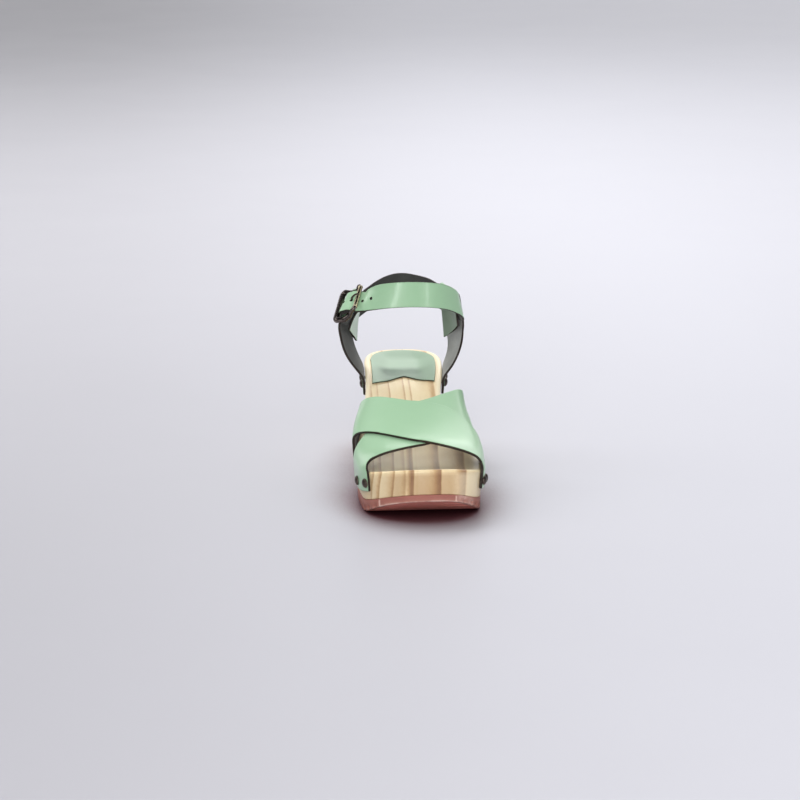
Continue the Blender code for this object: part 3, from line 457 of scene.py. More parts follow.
def inked_edge():
    s = Shade("edge_ink", Specular_IOR_Level=0.4)
    s.set("Base Color", s.ramp(s.noise(700, 4), [(0.3, srgb(30, 24, 21)), (0.7, srgb(58, 48, 42))]))
    s.set("Roughness", s.span(s.noise(300), 0.3, 0.7, 0.42, 0.6))
    s.set("Normal", s.bump(s.noise(1800, 3), 0.0001, 0.4))
    return s.m


def lining_suede(name, deep, light):
    s = Shade(name, Sheen_Weight=0.25, Sheen_Roughness=0.5, Specular_IOR_Level=0.25)
    fibre = s.noise(1400, 4, 0.7)
    s.set("Base Color", s.ramp(s.math("ADD", s.math("MULTIPLY", s.noise(60, 3), 0.5), s.math("MULTIPLY", fibre, 0.5)),
                               [(0.3, deep), (0.7, light)]))
    s.set("Roughness", s.span(fibre, 0.3, 0.7, 0.75, 0.95))
    s.set("Normal", s.bump(fibre, 0.00012, 0.5))
    return s.m


# growth rings charted: place across the board (mm at the toe), darkness; each band deepens to the medial side and ends
# sharply
RINGS = [(-50, 0.15), (-40.5, 0.30), (-38.6, 0.60), (-37.8, 0.08), (-35.8, 0.30), (-33.2, 0.72), (-32.3, 0.06), (-28.0, 0.16), (-25.0, 0.42),
         (-23.5, 0.76), (-22.8, 0.08), (-19.0, 0.20), (-15.8, 0.55), (-14.6, 0.22), (-13.2, 0.50), (-11.2, 0.97), (-9.6, 0.90), (-8.6, 0.05),
         (-6.2, 0.22), (-5.6, 0.08), (-1.0, 0.14), (2.5, 0.26), (6.0, 0.50), (8.8, 0.86), (11.0, 1.0), (12.2, 0.10),
         (18.5, 0.22), (23.5, 0.48), (26.8, 0.86), (29.6, 1.0), (31.0, 0.08)]
# the same rings where they come out on the heel seat
HEEL_RINGS = [(-50, 0.1), (-33.0, 0.12), (-30.0, 0.50), (-28.9, 0.58), (-28.3, 0.06), (-25.4, 0.16), (-23.8, 0.50), (-23.2, 0.06), (-18.5, 0.10), (-15.4, 0.34),
              (-14.3, 0.72), (-13.7, 0.05), (-8.0, 0.12), (-4.2, 0.30), (-2.7, 0.62), (-2.1, 0.05), (0.6, 0.16), (2.2, 0.66), (3.0, 0.05), (10.0, 0.10),
              (16.0, 0.22), (19.6, 0.62), (20.8, 0.66), (21.8, 0.08), (26.0, 0.2), (50, 0.2)]


def wood():
    s = Shade("wood", Coat_Weight=0.08, Coat_Roughness=0.2, Specular_IOR_Level=0.45)
    x, y, z = s.axes()
    # the board's grain runs a few degrees off the shoe's axis in front, and the lateral rings lean
    along = s.span(y, -0.125, 0.0, 0.0, 1.0)
    shifted = s.math("SUBTRACT", x, s.math("MULTIPLY", along, 0.0084))
    lean = s.math("MULTIPLY", s.span(x, -0.034, -0.012, 0.15, 0.0), s.math("SUBTRACT", z, 0.036))
    lean = s.math("MULTIPLY", lean, s.span(y, -0.11, -0.09, 1.0, 0.0))
    shifted = s.math("SUBTRACT", shifted, lean)
    drift = s.noise(1.0, 3, 0.5, s.stretch(38, 7, 30))
    shifted = s.math("ADD", shifted, s.math("MULTIPLY", s.math("SUBTRACT", drift, 0.5), 0.0042))
    place = s.span(shifted, (ORIGIN_X - 50.0) * 1e-3, (ORIGIN_X + 50.0) * 1e-3, 0.0, 1.0)
    chart = s.ramp(place, [((a + 50.0) / 100.0, (v, v, v, 1.0)) for a, v in RINGS])
    seat = s.math("ADD", x, s.math("MULTIPLY", s.math("SUBTRACT", drift, 0.5), 0.0025))
    seat = s.span(seat, (ORIGIN_X - 50.0) * 1e-3, (ORIGIN_X + 50.0) * 1e-3, 0.0, 1.0)
    chart = s.mix(s.span(y, -0.02, 0.01, 0.0, 1.0), chart, s.ramp(seat, [((a + 50.0) / 100.0, (v, v, v, 1.0)) for a, v in HEEL_RINGS]))
    fibre = s.noise(1.0, 4, 0.6, s.stretch(1500, 30, 1500))
    streak = s.noise(1.0, 3, 0.5, s.stretch(330, 9, 330))
    dark = s.math("ADD", chart, s.math("MULTIPLY", s.math("SUBTRACT", fibre, 0.5), 0.22))
    dark = s.math("ADD", dark, s.math("MULTIPLY", s.math("SUBTRACT", streak, 0.5), 0.26))
    colour = s.ramp(dark, [(0.0, srgb(246, 229, 189)), (0.3, srgb(236, 213, 168)), (0.6, srgb(205, 170, 124)), (1.0, srgb(150, 112, 84))])
    blush = s.span(s.noise(26, 2), 0.45, 0.75, 0.0, 0.35)
    colour = s.mix(blush, colour, srgb(232, 196, 150))
    pore = s.span(s.noise(1.0, 2, 0.5, s.stretch(2600, 90, 2600)), 0.70, 0.80, 0.0, 0.3)
    colour = s.mix(pore, colour, srgb(150, 112, 80))
    # painted shade, partly real darker end grain: the walls are multiplied darker
    colour = s.mix(s.attribute("wall"), colour, s.mix(0.9, colour, srgb(214, 202, 194), "MULTIPLY"))
    # painted light: cream mixed in on the heel rim, the forefoot bed and the toe's medial corner
    colour = s.mix(s.math("MULTIPLY", s.attribute("wear_and_painted_light"), 0.72), colour, srgb(252, 241, 210))
    s.set("Base Color", colour)
    s.set("Roughness", s.span(s.math("ADD", fibre, s.noise(45)), 0.6, 1.4, 0.30, 0.46))
    s.set("Normal", s.bump(s.math("SUBTRACT", fibre, s.math("MULTIPLY", dark, 0.5)), 0.00012, 0.3))
    return s.m


def rubber(name, light, deep, grime_and_painted_shade):
    s = Shade(name, Specular_IOR_Level=0.4, Subsurface_Weight=0.06, Subsurface_Scale=0.002)
    broad, speck = s.noise(55, 4), s.noise(1300, 3)
    colour = s.ramp(s.math("ADD", s.math("MULTIPLY", broad, 0.7), s.math("MULTIPLY", speck, 0.3)), [(0.32, deep), (0.68, light)])
    # painted shade: darker towards the floor contact
    painted_contact_shade = s.math("MULTIPLY", s.attribute("tread"), s.span(s.noise(90, 3), 0.3, 0.6, 0.75, 1.0))
    colour = s.mix(painted_contact_shade, colour, grime_and_painted_shade)
    # painted light on the toe's down-facing underside
    colour = s.mix(s.attribute("painted_underside_light"), colour, srgb(234, 144, 131))
    # painted highlight: a pale colour along edges and on the medial panel
    highlight_amount = s.math("MULTIPLY", s.attribute("painted_highlight"), s.span(s.noise(160, 3), 0.35, 0.6, 0.25, 0.8))
    colour = s.mix(highlight_amount, colour, srgb(236, 204, 190))
    s.set("Base Color", colour)
    s.set("Roughness", s.span(broad, 0.3, 0.7, 0.42, 0.58))
    s.set("Normal", s.bump(s.math("ADD", speck, s.noise(260, 3)), 0.00012, 0.35))
    return s.m


def metal(name, bright, dull_and_painted_light_shade, grime_and_painted_shade, rough, purity=1.0):
    s = Shade(name, Metallic=purity)
    wear_and_painted_light = s.span(s.node("NewGeometry").outputs["Pointiness"], 0.47, 0.56, 0.0, 1.0)
    cloud = s.noise(240, 4)
    body = s.mix(s.span(cloud, 0.35, 0.65, 0.0, 1.0), dull_and_painted_light_shade, grime_and_painted_shade)
    s.set("Base Color", s.mix(s.math("MULTIPLY", wear_and_painted_light, s.span(s.noise(600, 3), 0.3, 0.6, 0.45, 1.0)), body, bright))
    s.set("Roughness", s.span(s.noise(500, 4), 0.3, 0.7, rough - 0.06, rough + 0.1))
    s.set("Normal", s.bump(s.noise(900, 3), 0.00008, 0.3))
    return s.m


MINT = mint_leather("mint", srgb(166, 203, 167), srgb(157, 196, 158), 0.3, 0.4, srgb(146, 186, 147))
# the pad's last colour is its painted shade
PAD_MINT = mint_leather("pad_mint", srgb(160, 184, 160), srgb(150, 175, 151), 0.42, 0.15, srgb(142, 168, 144), 0.08, srgb(66, 96, 72))
INK, WOOD = inked_edge(), wood()
LINING = lining_suede("lining", srgb(48, 49, 48), srgb(80, 81, 79))
# painted light: a lighter copy of the lining for the medial strap's inner face
LINING_PAINTED_LIGHT = lining_suede("lining_painted_light", srgb(124, 125, 124), srgb(170, 171, 169))
RUBBER = rubber("rubber_salmon", srgb(174, 115, 101), srgb(158, 99, 87), srgb(140, 54, 54))
PEWTER = metal("pewter_worn", srgb(138, 127, 120), srgb(40, 34, 37), srgb(20, 16, 20), 0.24)
BRASS = metal("roller_brass", srgb(232, 220, 186), srgb(206, 192, 156), srgb(178, 162, 124), 0.26, 0.6)
BRONZE = metal("nail_bronze", srgb(120, 108, 98), srgb(66, 58, 54), srgb(38, 34, 33), 0.34)
STRAP = [MINT, INK, LINING]
# copies of the mint: painted light (paler) on the lateral flap, painted shade (greyer) on the medial flap
LIT_FLAP_MINT = mint_leather("flap_mint_painted_light", srgb(166, 203, 167), srgb(157, 196, 158), 0.3, 0.4, srgb(146, 186, 147), 0.13, srgb(206, 224, 210))
SHADED_FLAP_MINT = mint_leather("flap_mint_painted_shade", srgb(166, 203, 167), srgb(157, 196, 158), 0.3, 0.4, srgb(146, 186, 147), 0.13, srgb(122, 132, 122))


# ------------------------------------------------------------------ sole
def stations(a, b, step, extra=()):
    heel = HEEL_START * (1 - np.cos(np.linspace(0, math.pi / 2, 26)))
    toe = TOE_START + (LENGTH - TOE_START) * np.sin(np.linspace(0, math.pi / 2, 40))
    mid = np.linspace(HEEL_START, TOE_START, int(round((TOE_START - HEEL_START) / step)) + 1)[1:-1]
    s = np.unique(np.round(np.concatenate([heel, mid, toe, extra]), 4))
    s = s[(s > a + 0.05) & (s < b - 0.05)]
    return np.concatenate([[a], s, [b]])


def outline(st, cyclic):
    """Rim loop from the first station round its closed end, with inward normals and the station of each point."""
    xl, xr = edges(st)
    back = slice(-2, 0, -1) if cyclic else slice(-2, None, -1)
    loop = np.concatenate([np.stack([xl, st], -1), np.stack([xr, st], -1)[back]])
    full = np.concatenate([st, st[back]])
    tangent = (np.roll(loop, -1, 0) - np.roll(loop, 1, 0)) if cyclic else np.gradient(loop, axis=0)
    normal = np.stack([tangent[:, 1], -tangent[:, 0]], -1)
    if st[-1] < st[0]:
        normal = -normal
    normal /= np.linalg.norm(normal, axis=1, keepdims=True)
    if not cyclic:
        normal[0], normal[-1] = (1, 0), (-1, 0)
    return loop, normal, full


def plate(rings, n, cyclic, tops, bottoms):
    """Solid from a stack of loops; tops and bottoms fill the first and the last with rows of columns.

    tops, bottoms: (shares across, height function of the points)."""
    count = len(rings[0])
    pts, faces = list(np.concatenate(rings)), []
    for k in range(len(rings) - 1):
        for i in range(count if cyclic else count - 1):
            j = (i + 1) % count
            faces.append((k * count + i, k * count + j, (k + 1) * count + j, (k + 1) * count + i))
    ends = []
    for ringno, (shares, height) in ((0, tops), (len(rings) - 1, bottoms)):
        grid = []
        for i in range(n):
            a = ringno * count + i
            b = ringno * count + ((count - i) % count if cyclic else count - 1 - i)
            if a == b:
                grid.append([a] * (len(shares) + 2))
                continue
            pa, pb = np.asarray(pts[a]), np.asarray(pts[b])
            width = abs(pb[0] - pa[0])
            q = pa + (pb - pa) * np.asarray([f(width) if callable(f) else f for f in shares])[:, None]
            q[:, 2] = height(q)
            grid.append([a] + list(range(len(pts), len(pts) + len(q))) + [b])
            pts.extend(q)
        for i in range(n - 1):
            for c in range(len(shares) + 1):
                faces.append(tuple(dict.fromkeys((grid[i][c], grid[i][c + 1], grid[i + 1][c + 1], grid[i + 1][c]))))
        ends.append(grid[0])
    if not cyclic:
        inner = list(range(1, len(rings) - 1))
        faces.append(tuple(ends[0]) + tuple(k * count + count - 1 for k in inner) + tuple(ends[1][::-1]) + tuple(k * count for k in inner[::-1]))
    return pts, faces


def build_wood():
    st = stations(0.0, LENGTH, 1.6, (HEEL_FRONT, HEEL_FRONT + 0.35, BREAST_TOP - 0.5, BREAST_TOP, BREAST_TOP + 0.6))
    loop, normal, full = outline(st, True)
    top, low = rim(full), under(full)
    r, rings = RIM_ROUND, []
    for a in np.radians((0.0, 14.0, 28.0, 42.0, 56.0, 70.0, 80.0, 90.0)):
        rings.append(np.column_stack([loop + normal * (r * (1 - math.sin(a))), top - r * (1 - math.cos(a))]))
    for share in (0.15, 0.32, 0.5, 0.68, 0.85, 0.96):
        z = top - r + (low - top + r) * share
        rings.append(np.column_stack([loop + normal * (DRAFT * (top - z))[:, None], z]))
    z = low + 0.5
    rings.append(np.column_stack([loop + normal * (DRAFT * (top - z))[:, None], z]))
    rings.append(np.column_stack([loop + normal * (DRAFT * (top - z) + 0.5)[:, None], low]))
    shares = np.linspace(0, 1, 46)[1:-1]
    pts, faces = plate(rings, len(st), True, (list(shares), lambda q: footbed(q[:, 0], np.clip(q[:, 1], 0, LENGTH))),
                       (list(np.linspace(0, 1, 14)[1:-1]), lambda q: q[:, 2]))
    q = np.asarray(pts)
    s = np.clip(q[:, 1], 0, LENGTH)
    xl, xr = edges(s)
    inside = np.minimum(np.minimum(q[:, 0] - xl, xr - q[:, 0]), np.minimum(s, LENGTH - s))
    heel = 1 - smooth(95, 130, s)
    # painted highlight: the band along the heel seat's rim is mixed towards cream
    wear_and_painted_light = (1 - smooth(1.5, 5.6, inside)) * heel
    wear_and_painted_light = wear_and_painted_light * (1 - smooth(1.0, 3.0, rim(s) - q[:, 2]) * (1 - smooth(2.5, 4.0, inside)))
    # painted light: the forefoot bed is paler where the straps shade it
    wear_and_painted_light = np.maximum(wear_and_painted_light, 0.22 * smooth(112, 135, s) * (1 - smooth(240, 247, s)) * smooth(1.5, 4.0, inside))
    wear_and_painted_light = np.where(q[:, 2] < rim(s) - 7, 0.0, wear_and_painted_light)
    # painted shade, partly real darker end grain: the side walls below the rounded rim are darkened
    wall = smooth(1.2, 3.0, rim(s) - q[:, 2]) * (1 - smooth(1.5, 3.0, inside - DRAFT * (rim(s) - q[:, 2])))
    # painted light: the toe's medial corner is paler and its wall less darkened; the lateral walls are darkened less
    # too
    pale = smooth(18, 27, q[:, 0]) * smooth(215, 232, s) * wall
    wear_and_painted_light, wall = np.maximum(wear_and_painted_light, 0.45 * pale), wall * (1 - 0.9 * pale) * (1 - 0.8 * smooth(20, 34, -q[:, 0]))
    return piece("sole_wood", pts, faces, [WOOD], nodes=["wood_sole"], slot="wood", attrs={"wear_and_painted_light": wear_and_painted_light, "wall": wall}, angle=50)


GROOVES = (166.0, 178.0, 190.0, 202.0)


def build_outsole():
    extra = [g + d for g in GROOVES for d in (-2.0, -1.6, 1.6, 2.0)]
    fine = np.linspace(228, 249.999, 4000)
    lo, hi = edges(fine)
    extra += [float(np.interp(x, lo, fine)) for x in np.arange(-36.2, -32.0, 0.4)]
    extra += [float(np.interp(-x, -hi, fine)) for x in np.arange(21.6, 25.8, 0.4)]
    st = stations(SOLE_REAR, LENGTH, 0.8, extra)
    loop, normal, full = outline(st, False)
    top, rim_z = under(full) - 0.08, rim(full)
    low = np.where((full > 160) & (full < 207.5), 0.0, spline(RUBBER_UNDER, full)[:, 0])
    low = np.maximum(low, 0.0)
    # raised panels behind both toe corners, with scalloped lugs along the lower edge
    arc = np.concatenate([[0], np.cumsum(np.linalg.norm(np.diff(loop, axis=0), axis=1))])
    left = arc[np.argmin(np.abs(loop[:, 0] + 34.2) + np.where(full > 225, 0, 1e3) + np.where(np.arange(len(full)) < len(st), 0, 1e3))]
    right = arc[np.argmin(np.abs(loop[:, 0] - 23.6) + np.where(full > 225, 0, 1e3) + np.where(np.arange(len(full)) >= len(st), 0, 1e3))]
    raised = 0.4 * (1 - smooth(left - 0.7, left + 0.5, arc) * (1 - smooth(right - 0.5, right + 0.7, arc)))
    notch = np.zeros(len(arc))
    for k in range(11):
        for at in (left - 5.0 - 9.0 * k, right + 9.0 + 9.0 * k):
            notch = np.maximum(notch, hump(arc, at, 1.15))
    rings, painted_highlight = [], []
    toe = smooth(left - 1, left + 2, arc) * (1 - smooth(right + 6, right + 12, arc))
    for share, inset in ((0.0, 0.35), (0.03, 0.0), (0.25, 0.0), (0.45, 0.0), (0.6, 0.0), (0.7, 0.0), (0.8, 0.0), (0.88, 0.05), (0.94, 0.3), (0.98, 0.75), (1.0, 1.4)):
        z = top + (low - top) * share
        cut = 1.5 * notch * smooth(0.42, 0.62, share) + inset - raised * smooth(0.0, 0.12, share) * (1 - smooth(0.9, 1.0, share))
        rings.append(np.column_stack([loop + normal * (DRAFT * (rim_z - z) + cut)[:, None], z]))
        # painted highlight: light lines along the lower edge and the panel steps, and a lighter medial panel
        edge = float(smooth(0.74, 0.86, share) * (1 - smooth(0.975, 1.0, share)))
        painted_highlight.append(np.clip(edge * (0.25 + 0.75 * toe) + 0.1 * smooth(0.45, 0.7, share) * toe + 0.6 * smooth(right, right + 3, arc) * (1 - smooth(right + 14, right + 24, arc)) + (hump(arc, left, 0.6) + hump(arc, right, 0.6)) * smooth(0.0, 0.1, share), 0, 1))
    columns = [lambda w, d=d: d / w for d in (2.5, 4.6, 5.2, 5.6)] + list(np.linspace(0.12, 0.88, 19))
    columns += [lambda w, d=d: 1 - d / w for d in (5.6, 5.2, 4.6, 2.5)]

    def tread(q):
        out = q[:, 2].copy()
        side = np.minimum(q[:, 0] - q[:, 0].min(), q[:, 0].max() - q[:, 0])
        for g in GROOVES:
            out += 2.2 * (1 - smooth(1.6, 2.0, np.abs(q[:, 1] - g))) * smooth(2.6, 3.2, side)
        return out

    pts, faces = plate(rings, len(st), False, (list(np.linspace(0, 1, 12)[1:-1]), lambda q: q[:, 2]), (sorted_shares(columns), tread))
    q = np.asarray(pts)
    floor_z = np.where((q[:, 1] > 160) & (q[:, 1] < 207.5), 0.0, spline(RUBBER_UNDER, np.clip(q[:, 1], SOLE_REAR, LENGTH))[:, 0])
    # painted shade near the floor contact
    tread = (1 - smooth(0.1, 2.6, q[:, 2] - floor_z)) * (1 - smooth(202, 226, q[:, 1]))
    # painted light: the rolled-up underside of the toe, facing down, is painted lighter and redder
    painted_underside_light = 0.95 * smooth(205, 216, q[:, 1]) * (np.arange(len(q)) >= sum(map(len, painted_highlight)))
    return piece("sole_rubber", pts, faces, [RUBBER], nodes=["outsole_forefoot"], slot="rubber", attrs={"tread": tread, "painted_underside_light": painted_underside_light, "painted_highlight": np.concatenate(painted_highlight + [0.12 * smooth(208, 220, q[sum(map(len, painted_highlight)):, 1])])}, angle=42)


def sorted_shares(columns):
    """Shares across that stay in order on narrow rows too."""
    def at(k):
        def f(w):
            v = np.array([c(max(w, 14.0)) if callable(c) else c for c in columns])
            v = np.clip(np.maximum.accumulate(v), 0.0, 1.0)
            return float(v[k] + (k + 1) * 1e-5)
        return f
    return [at(k) for k in range(len(columns))]


def build_lift():
    st = stations(0.0, HEEL_FRONT - 0.6, 1.6)[::-1]
    loop, normal, full = outline(st, False)
    rings = []
    for z, inset in ((LIFT_T, 0.25), (LIFT_T - 0.25, 0.0), (4.0, 0.0), (2.0, 0.0), (0.9, 0.05), (0.4, 0.25), (0.1, 0.6), (0.0, 1.0)):
        rings.append(np.column_stack([loop + normal * (DRAFT * (rim(full) - z) + inset)[:, None], np.full(len(full), z)]))
    flat = list(np.linspace(0, 1, 10)[1:-1])
    pts, faces = plate(rings, len(st), False, (flat, lambda q: q[:, 2]), (flat, lambda q: q[:, 2]))
    # painted shade near the floor contact
    tread = 1 - smooth(0.1, 2.0, np.asarray(pts)[:, 2])
    return piece("heel_lift", pts, faces, [RUBBER], nodes=["heel_top_lift"], slot="rubber", attrs={"tread": tread}, angle=42)


def build_pad():
    u = edge_samples(50.0, 0.5, 52) * 2 - 1
    v = edge_samples(60.0, 0.5, 52)
    grid = np.zeros((len(v), len(u), 2))
    soft = np.sqrt(u ** 2 + 0.0016) - 0.04
    front = PAD_NOTCH_S + (PAD_CORNER_S - PAD_NOTCH_S) * soft - 1.0 * u
    for j, uj in enumerate(u):
        a = abs(uj)
        back = PAD_BACK + (HEEL_START - 6.0) * (1 - (1 - (a * 0.985) ** HEEL_POWER) ** (1 / HEEL_POWER))
        s = back + (front[j] - back) * v
        ref = np.maximum(s, HEEL_START * 0.9)
        xl, xr = edges(ref)
        grid[:, j, 0] = (xl + xr) / 2 + uj * ((xr - xl) / 2 - PAD_SIDE)
        grid[:, j, 1] = s
    base = np.dstack([grid, footbed(grid[..., 0], grid[..., 1])])
    n = grid_normals(base)
    n *= np.sign(n[..., 2:3])
    X, S = grid[..., 0], grid[..., 1]
    # two shallow dips left by the foot
    relief = -0.35 * hump(X, -11, 9) * hump(S, 52, 8) - 0.35 * hump(X, 10, 9) * hump(S, 52, 8)
    # painted shade: darker in the two dips along both lower sides and over the middle towards the pad's front
    painted_light_and_shade = 0.6 * smooth(38, 50, S) * (1 - smooth(11, 21, np.abs(X + 3))) + 0.8 * hump(X, -10, 9) * hump(S, 51, 7) + 0.55 * hump(X, 7, 7) * hump(S, 50, 6)
    return leather("pad", base + n * PAD_GAP, PAD_T, [PAD_MINT, INK, LINING], (20, 20, (0, 0, 1)), ["heel_pad"], "pad_leather",
                   r=0.5, r2=0.2, ink=0.1, relief=relief, extra={"painted_light_and_shade": np.clip(painted_light_and_shade, 0, 1)})


# ------------------------------------------------------------------ crossed straps
def vamp_point(strap, turn, share):
    e = spline(STRAPS, turn)
    k = 0 if strap == "over" else 2
    return last(turn, e[..., k] + (e[..., k + 1] - e[..., k]) * share)


def build_strap(strap):
    end = 90.0 + STRAP_END
    fine = np.linspace(-end, end, 1600)
    mid = vamp_point(strap, fine, 0.5)
    at = np.concatenate([[0], np.cumsum(np.linalg.norm(np.diff(mid, axis=0), axis=1))])
    t = np.interp(edge_samples(at[-1], 0.7, int(at[-1] / 1.1)) * at[-1], at, fine)
    w = edge_samples(46.0, 0.7, 40)
    T, W = np.meshgrid(t, w, indexing="ij")
    base = vamp_point(strap, T, W)
    n = grid_normals(base)
    n *= np.sign(n[len(t) // 2, len(w) // 2, 2])
    if strap == "over":
        lift = (VAMP_T + 0.15) * (1 - smooth(54, 86, np.abs(T)))
        base = base + n * lift[..., None]
    # soft troughs where the leather turns down to the sole
    side = np.sign(T)
    relief = -0.5 * hump(np.abs(T), 74, 7) * hump(W, 0.55, 0.35)
    if strap == "under":
        relief = relief - 0.6 * np.where(side > 0, hump(T, 58, 8) * hump(W, 0.35, 0.25), 0)
    return leather("strap_" + strap, base, VAMP_T, STRAP, (len(t) // 2, len(w) // 2, (0, 0, 1)), ["vamp_cross_straps"], "leather", relief=relief)


def wall_frame(s, depth, side):
    d = 0.5
    sign = -1 if side == "lateral" else 1
    p = last(sign * (90 + depth), s)
    ds = last(sign * (90 + depth), s + d) - last(sign * (90 + depth), s - d)
    dz = last(sign * (90 + depth - d), s) - last(sign * (90 + depth + d), s)
    n = np.cross(ds, dz)
    n /= np.linalg.norm(n)
    return p, n * np.sign(n[0] * sign)


def wall_frame_heel(s, depth, sign):
    def q(s, d):
        xl, xr = edges(s)
        x = float(xl) if sign < 0 else float(xr)
        return np.array([x + sign * (GAP + 0.1) - sign * DRAFT * d, s, float(rim(s)) - d])
    n = np.cross(q(s + 0.5, depth) - q(s - 0.5, depth), q(s, depth - 0.5) - q(s, depth + 0.5))
    n /= np.linalg.norm(n)
    return q(s, depth), n * np.sign(n[0] * sign)


def build_nail(name, base, normal, t, k):
    h = t + 0.05
    r = NAIL_HEAD_R
    profile = [(0, -6.0), (1.25, -6.0), (1.25, h - 0.2), (r * 0.9, h - 0.2), (r, h + 0.15), (r, h + 0.5), (r * 0.95, h + 0.95), (r * 0.84, h + 1.4),
               (r * 0.66, h + 1.85), (r * 0.44, h + 2.15), (r * 0.2, h + 2.32), (0, h + 2.36)]
    dents = lambda a, q: 0.02 * math.sin(3 * a + k * 1.7) + 0.015 * math.sin(5 * a + k + q)
    return piece("head_" + name, *turned(profile, base, normal, 28, dents), [BRONZE], nodes=[name], slot="nail")


def build_nails():
    k = 0
    for strap, side, tag in (("over", "lateral", "rear"), ("under", "lateral", "front"), ("over", "medial", "front"), ("under", "medial", "rear")):
        turn = -98.0 if side == "lateral" else 98.0
        for q, share in enumerate(NAIL_SHARES[strap, side]):
            e = spline(STRAPS, turn)
            c = 0 if strap == "over" else 2
            p, n = wall_frame(float(e[c] + (e[c + 1] - e[c]) * share), 8.0, side)
            build_nail("nail_%s_%s_%d" % (side, tag, q + 1), p, n, VAMP_T, k)
            k += 1
    for side, sign in (("lateral", -1), ("medial", 1)):
        for q, s in enumerate((SIDE_REAR_S + 6.5, SIDE_FRONT_S - 6.5)):
            p, n = wall_frame_heel(s, 8.0, sign)
            build_nail("nail_heel_%s_%d" % (side, q + 1), p, n, SIDE_T + 0.25, k)
            k += 1


# ------------------------------------------------------------------ heel-side straps
def build_side(side):
    sign = -1 if side == "lateral" else 1
    front_turn, rear_turn, out, gap_in, flap_front, flap_rear = LOOPS[side]
    rows = []

    def wall(s, depth):
        xl, xr = edges(s)
        x = float(xl) if sign < 0 else float(xr)
        return (x + sign * (GAP + 0.3) - sign * DRAFT * depth, s, float(rim(s)) - depth)

    for depth in (STRAP_END, 8.0, 2.5):
        rows.append(wall(SIDE_FRONT_S, depth) + wall(SIDE_REAR_S, depth))
    rows += RISE[side]
    low = -7.0
    rows.append(tuple(ring(front_turn, out, low)) + tuple(ring(rear_turn, out, low)))
    rows = np.asarray(rows, float)
    mid = (rows[:, :3] + rows[:, 3:]) / 2
    step = np.concatenate([[0], np.cumsum(np.linalg.norm(np.diff(mid, axis=0), axis=1))])
    sampled = spline(np.column_stack([step, rows]), np.linspace(0, step[-1], 17))
    centre, radius = (out + gap_in) / 2, (out - gap_in) / 2
    top = BELT_W + (0.2 if side == "medial" else 1.0)
    share = edge_samples(25.0, 0.6, 24)
    turn = front_turn + (rear_turn - front_turn) * share
    bow = ring(turn, out, low)
    bow = bow - (bow[:1] * (1 - share[:, None]) + bow[-1:] * share[:, None])
    grid = []
    for i, p in enumerate(sampled):
        straight = p[:3] * (1 - share[:, None]) + p[3:] * share[:, None]
        grid.append(straight + bow * smooth(0.45, 1.0, i / (len(sampled) - 1)))
    for up in (2.0, 11.0, top):
        grid.append(ring(turn, out, up))
    for a in np.linspace(0, math.pi, 8)[1:-1]:
        grid.append(ring(turn, centre + radius * math.cos(a), top + radius * math.sin(a)))
    for k in (0.0, 0.33, 0.66, 1.0):
        flap = flap_front + (flap_rear - flap_front) * share
        grid.append(ring(turn - sign * FLAP_TAPER * share * k, gap_in + FLAP_LEAN * k ** 3 * share, top + (flap - top) * k))
    base = resample(np.asarray(grid), 0.6, 0.9)
    # the inner flaps: painted light makes the lateral flap paler, painted shade makes the medial flap greyer
    crown = int(np.argmax(base[:, base.shape[1] // 2, 2]))
    dull_and_painted_light_shade = smooth(crown + 4, crown + 16, np.arange(len(base)))[:, None] * np.ones(base.shape[1])
    return leather("side_" + side, base, SIDE_T, [LIT_FLAP_MINT, INK, LINING] if side == "lateral" else [SHADED_FLAP_MINT, INK, LINING_PAINTED_LIGHT], (12, 14, (sign, 0, 0)), ["side_strap_" + side],
                   "leather", r=0.6, extra={"painted_light_and_shade": dull_and_painted_light_shade})


# ------------------------------------------------------------------ ankle strap and buckle
def square_turn(turn, up):
    turn, up = np.broadcast_arrays(np.asarray(turn, float), np.asarray(up, float))
    mid = ring(turn, 0, BELT_W / 2)
    course = ring(turn - 1, 0, BELT_W / 2) - ring(turn + 1, 0, BELT_W / 2)
    course /= np.linalg.norm(course, axis=-1, keepdims=True)
    out = turn.copy()
    for _ in range(3):
        p = ring(out, 0, up)
        rate = ((ring(out - 0.5, 0, up) - ring(out + 0.5, 0, up)) * course).sum(-1)
        out = out + ((p - mid) * course).sum(-1) / rate
    return out


def buckle_axes():
    q = np.linspace(0, BELT_W, 5)
    foot = ring(square_turn(BAR_TURN, q), 0, q)
    up = (foot[-1] - foot[0]) / np.linalg.norm(foot[-1] - foot[0])
    n = ring_frame(BAR_TURN)[1]
    n = n - up * np.dot(n, up)
    n /= np.linalg.norm(n)
    along = np.cross(n, up)
    if along[1] > 0:
        along = -along
    g = math.radians(BUCKLE_SWING)
    n, along = n * math.cos(g) - along * math.sin(g), along * math.cos(g) + n * math.sin(g)
    return foot.mean(0), n, along, up


FOOT, BUCKLE_N, BUCKLE_ALONG, BUCKLE_UP = buckle_axes()
PER_TURN = np.linalg.norm(ring(BAR_TURN + 0.5, 0, BELT_W / 2) - ring(BAR_TURN - 0.5, 0, BELT_W / 2))


def belt_point(turn, out, up):
    turn, out, up = np.broadcast_arrays(np.asarray(turn, float), np.asarray(out, float), np.asarray(up, float))
    away = (turn - BAR_TURN + 180.0) % 360.0 - 180.0
    share = (1 - smooth(FLAT_NEAR, FLAT_FAR, np.abs(away)))[..., None]
    flat = (FOOT + BUCKLE_UP * (up - BELT_W / 2)[..., None] - BUCKLE_ALONG * (away * PER_TURN)[..., None]
            + BUCKLE_N * out[..., None])
    return ring(square_turn(turn, up), out, up) * (1 - share) + flat * share


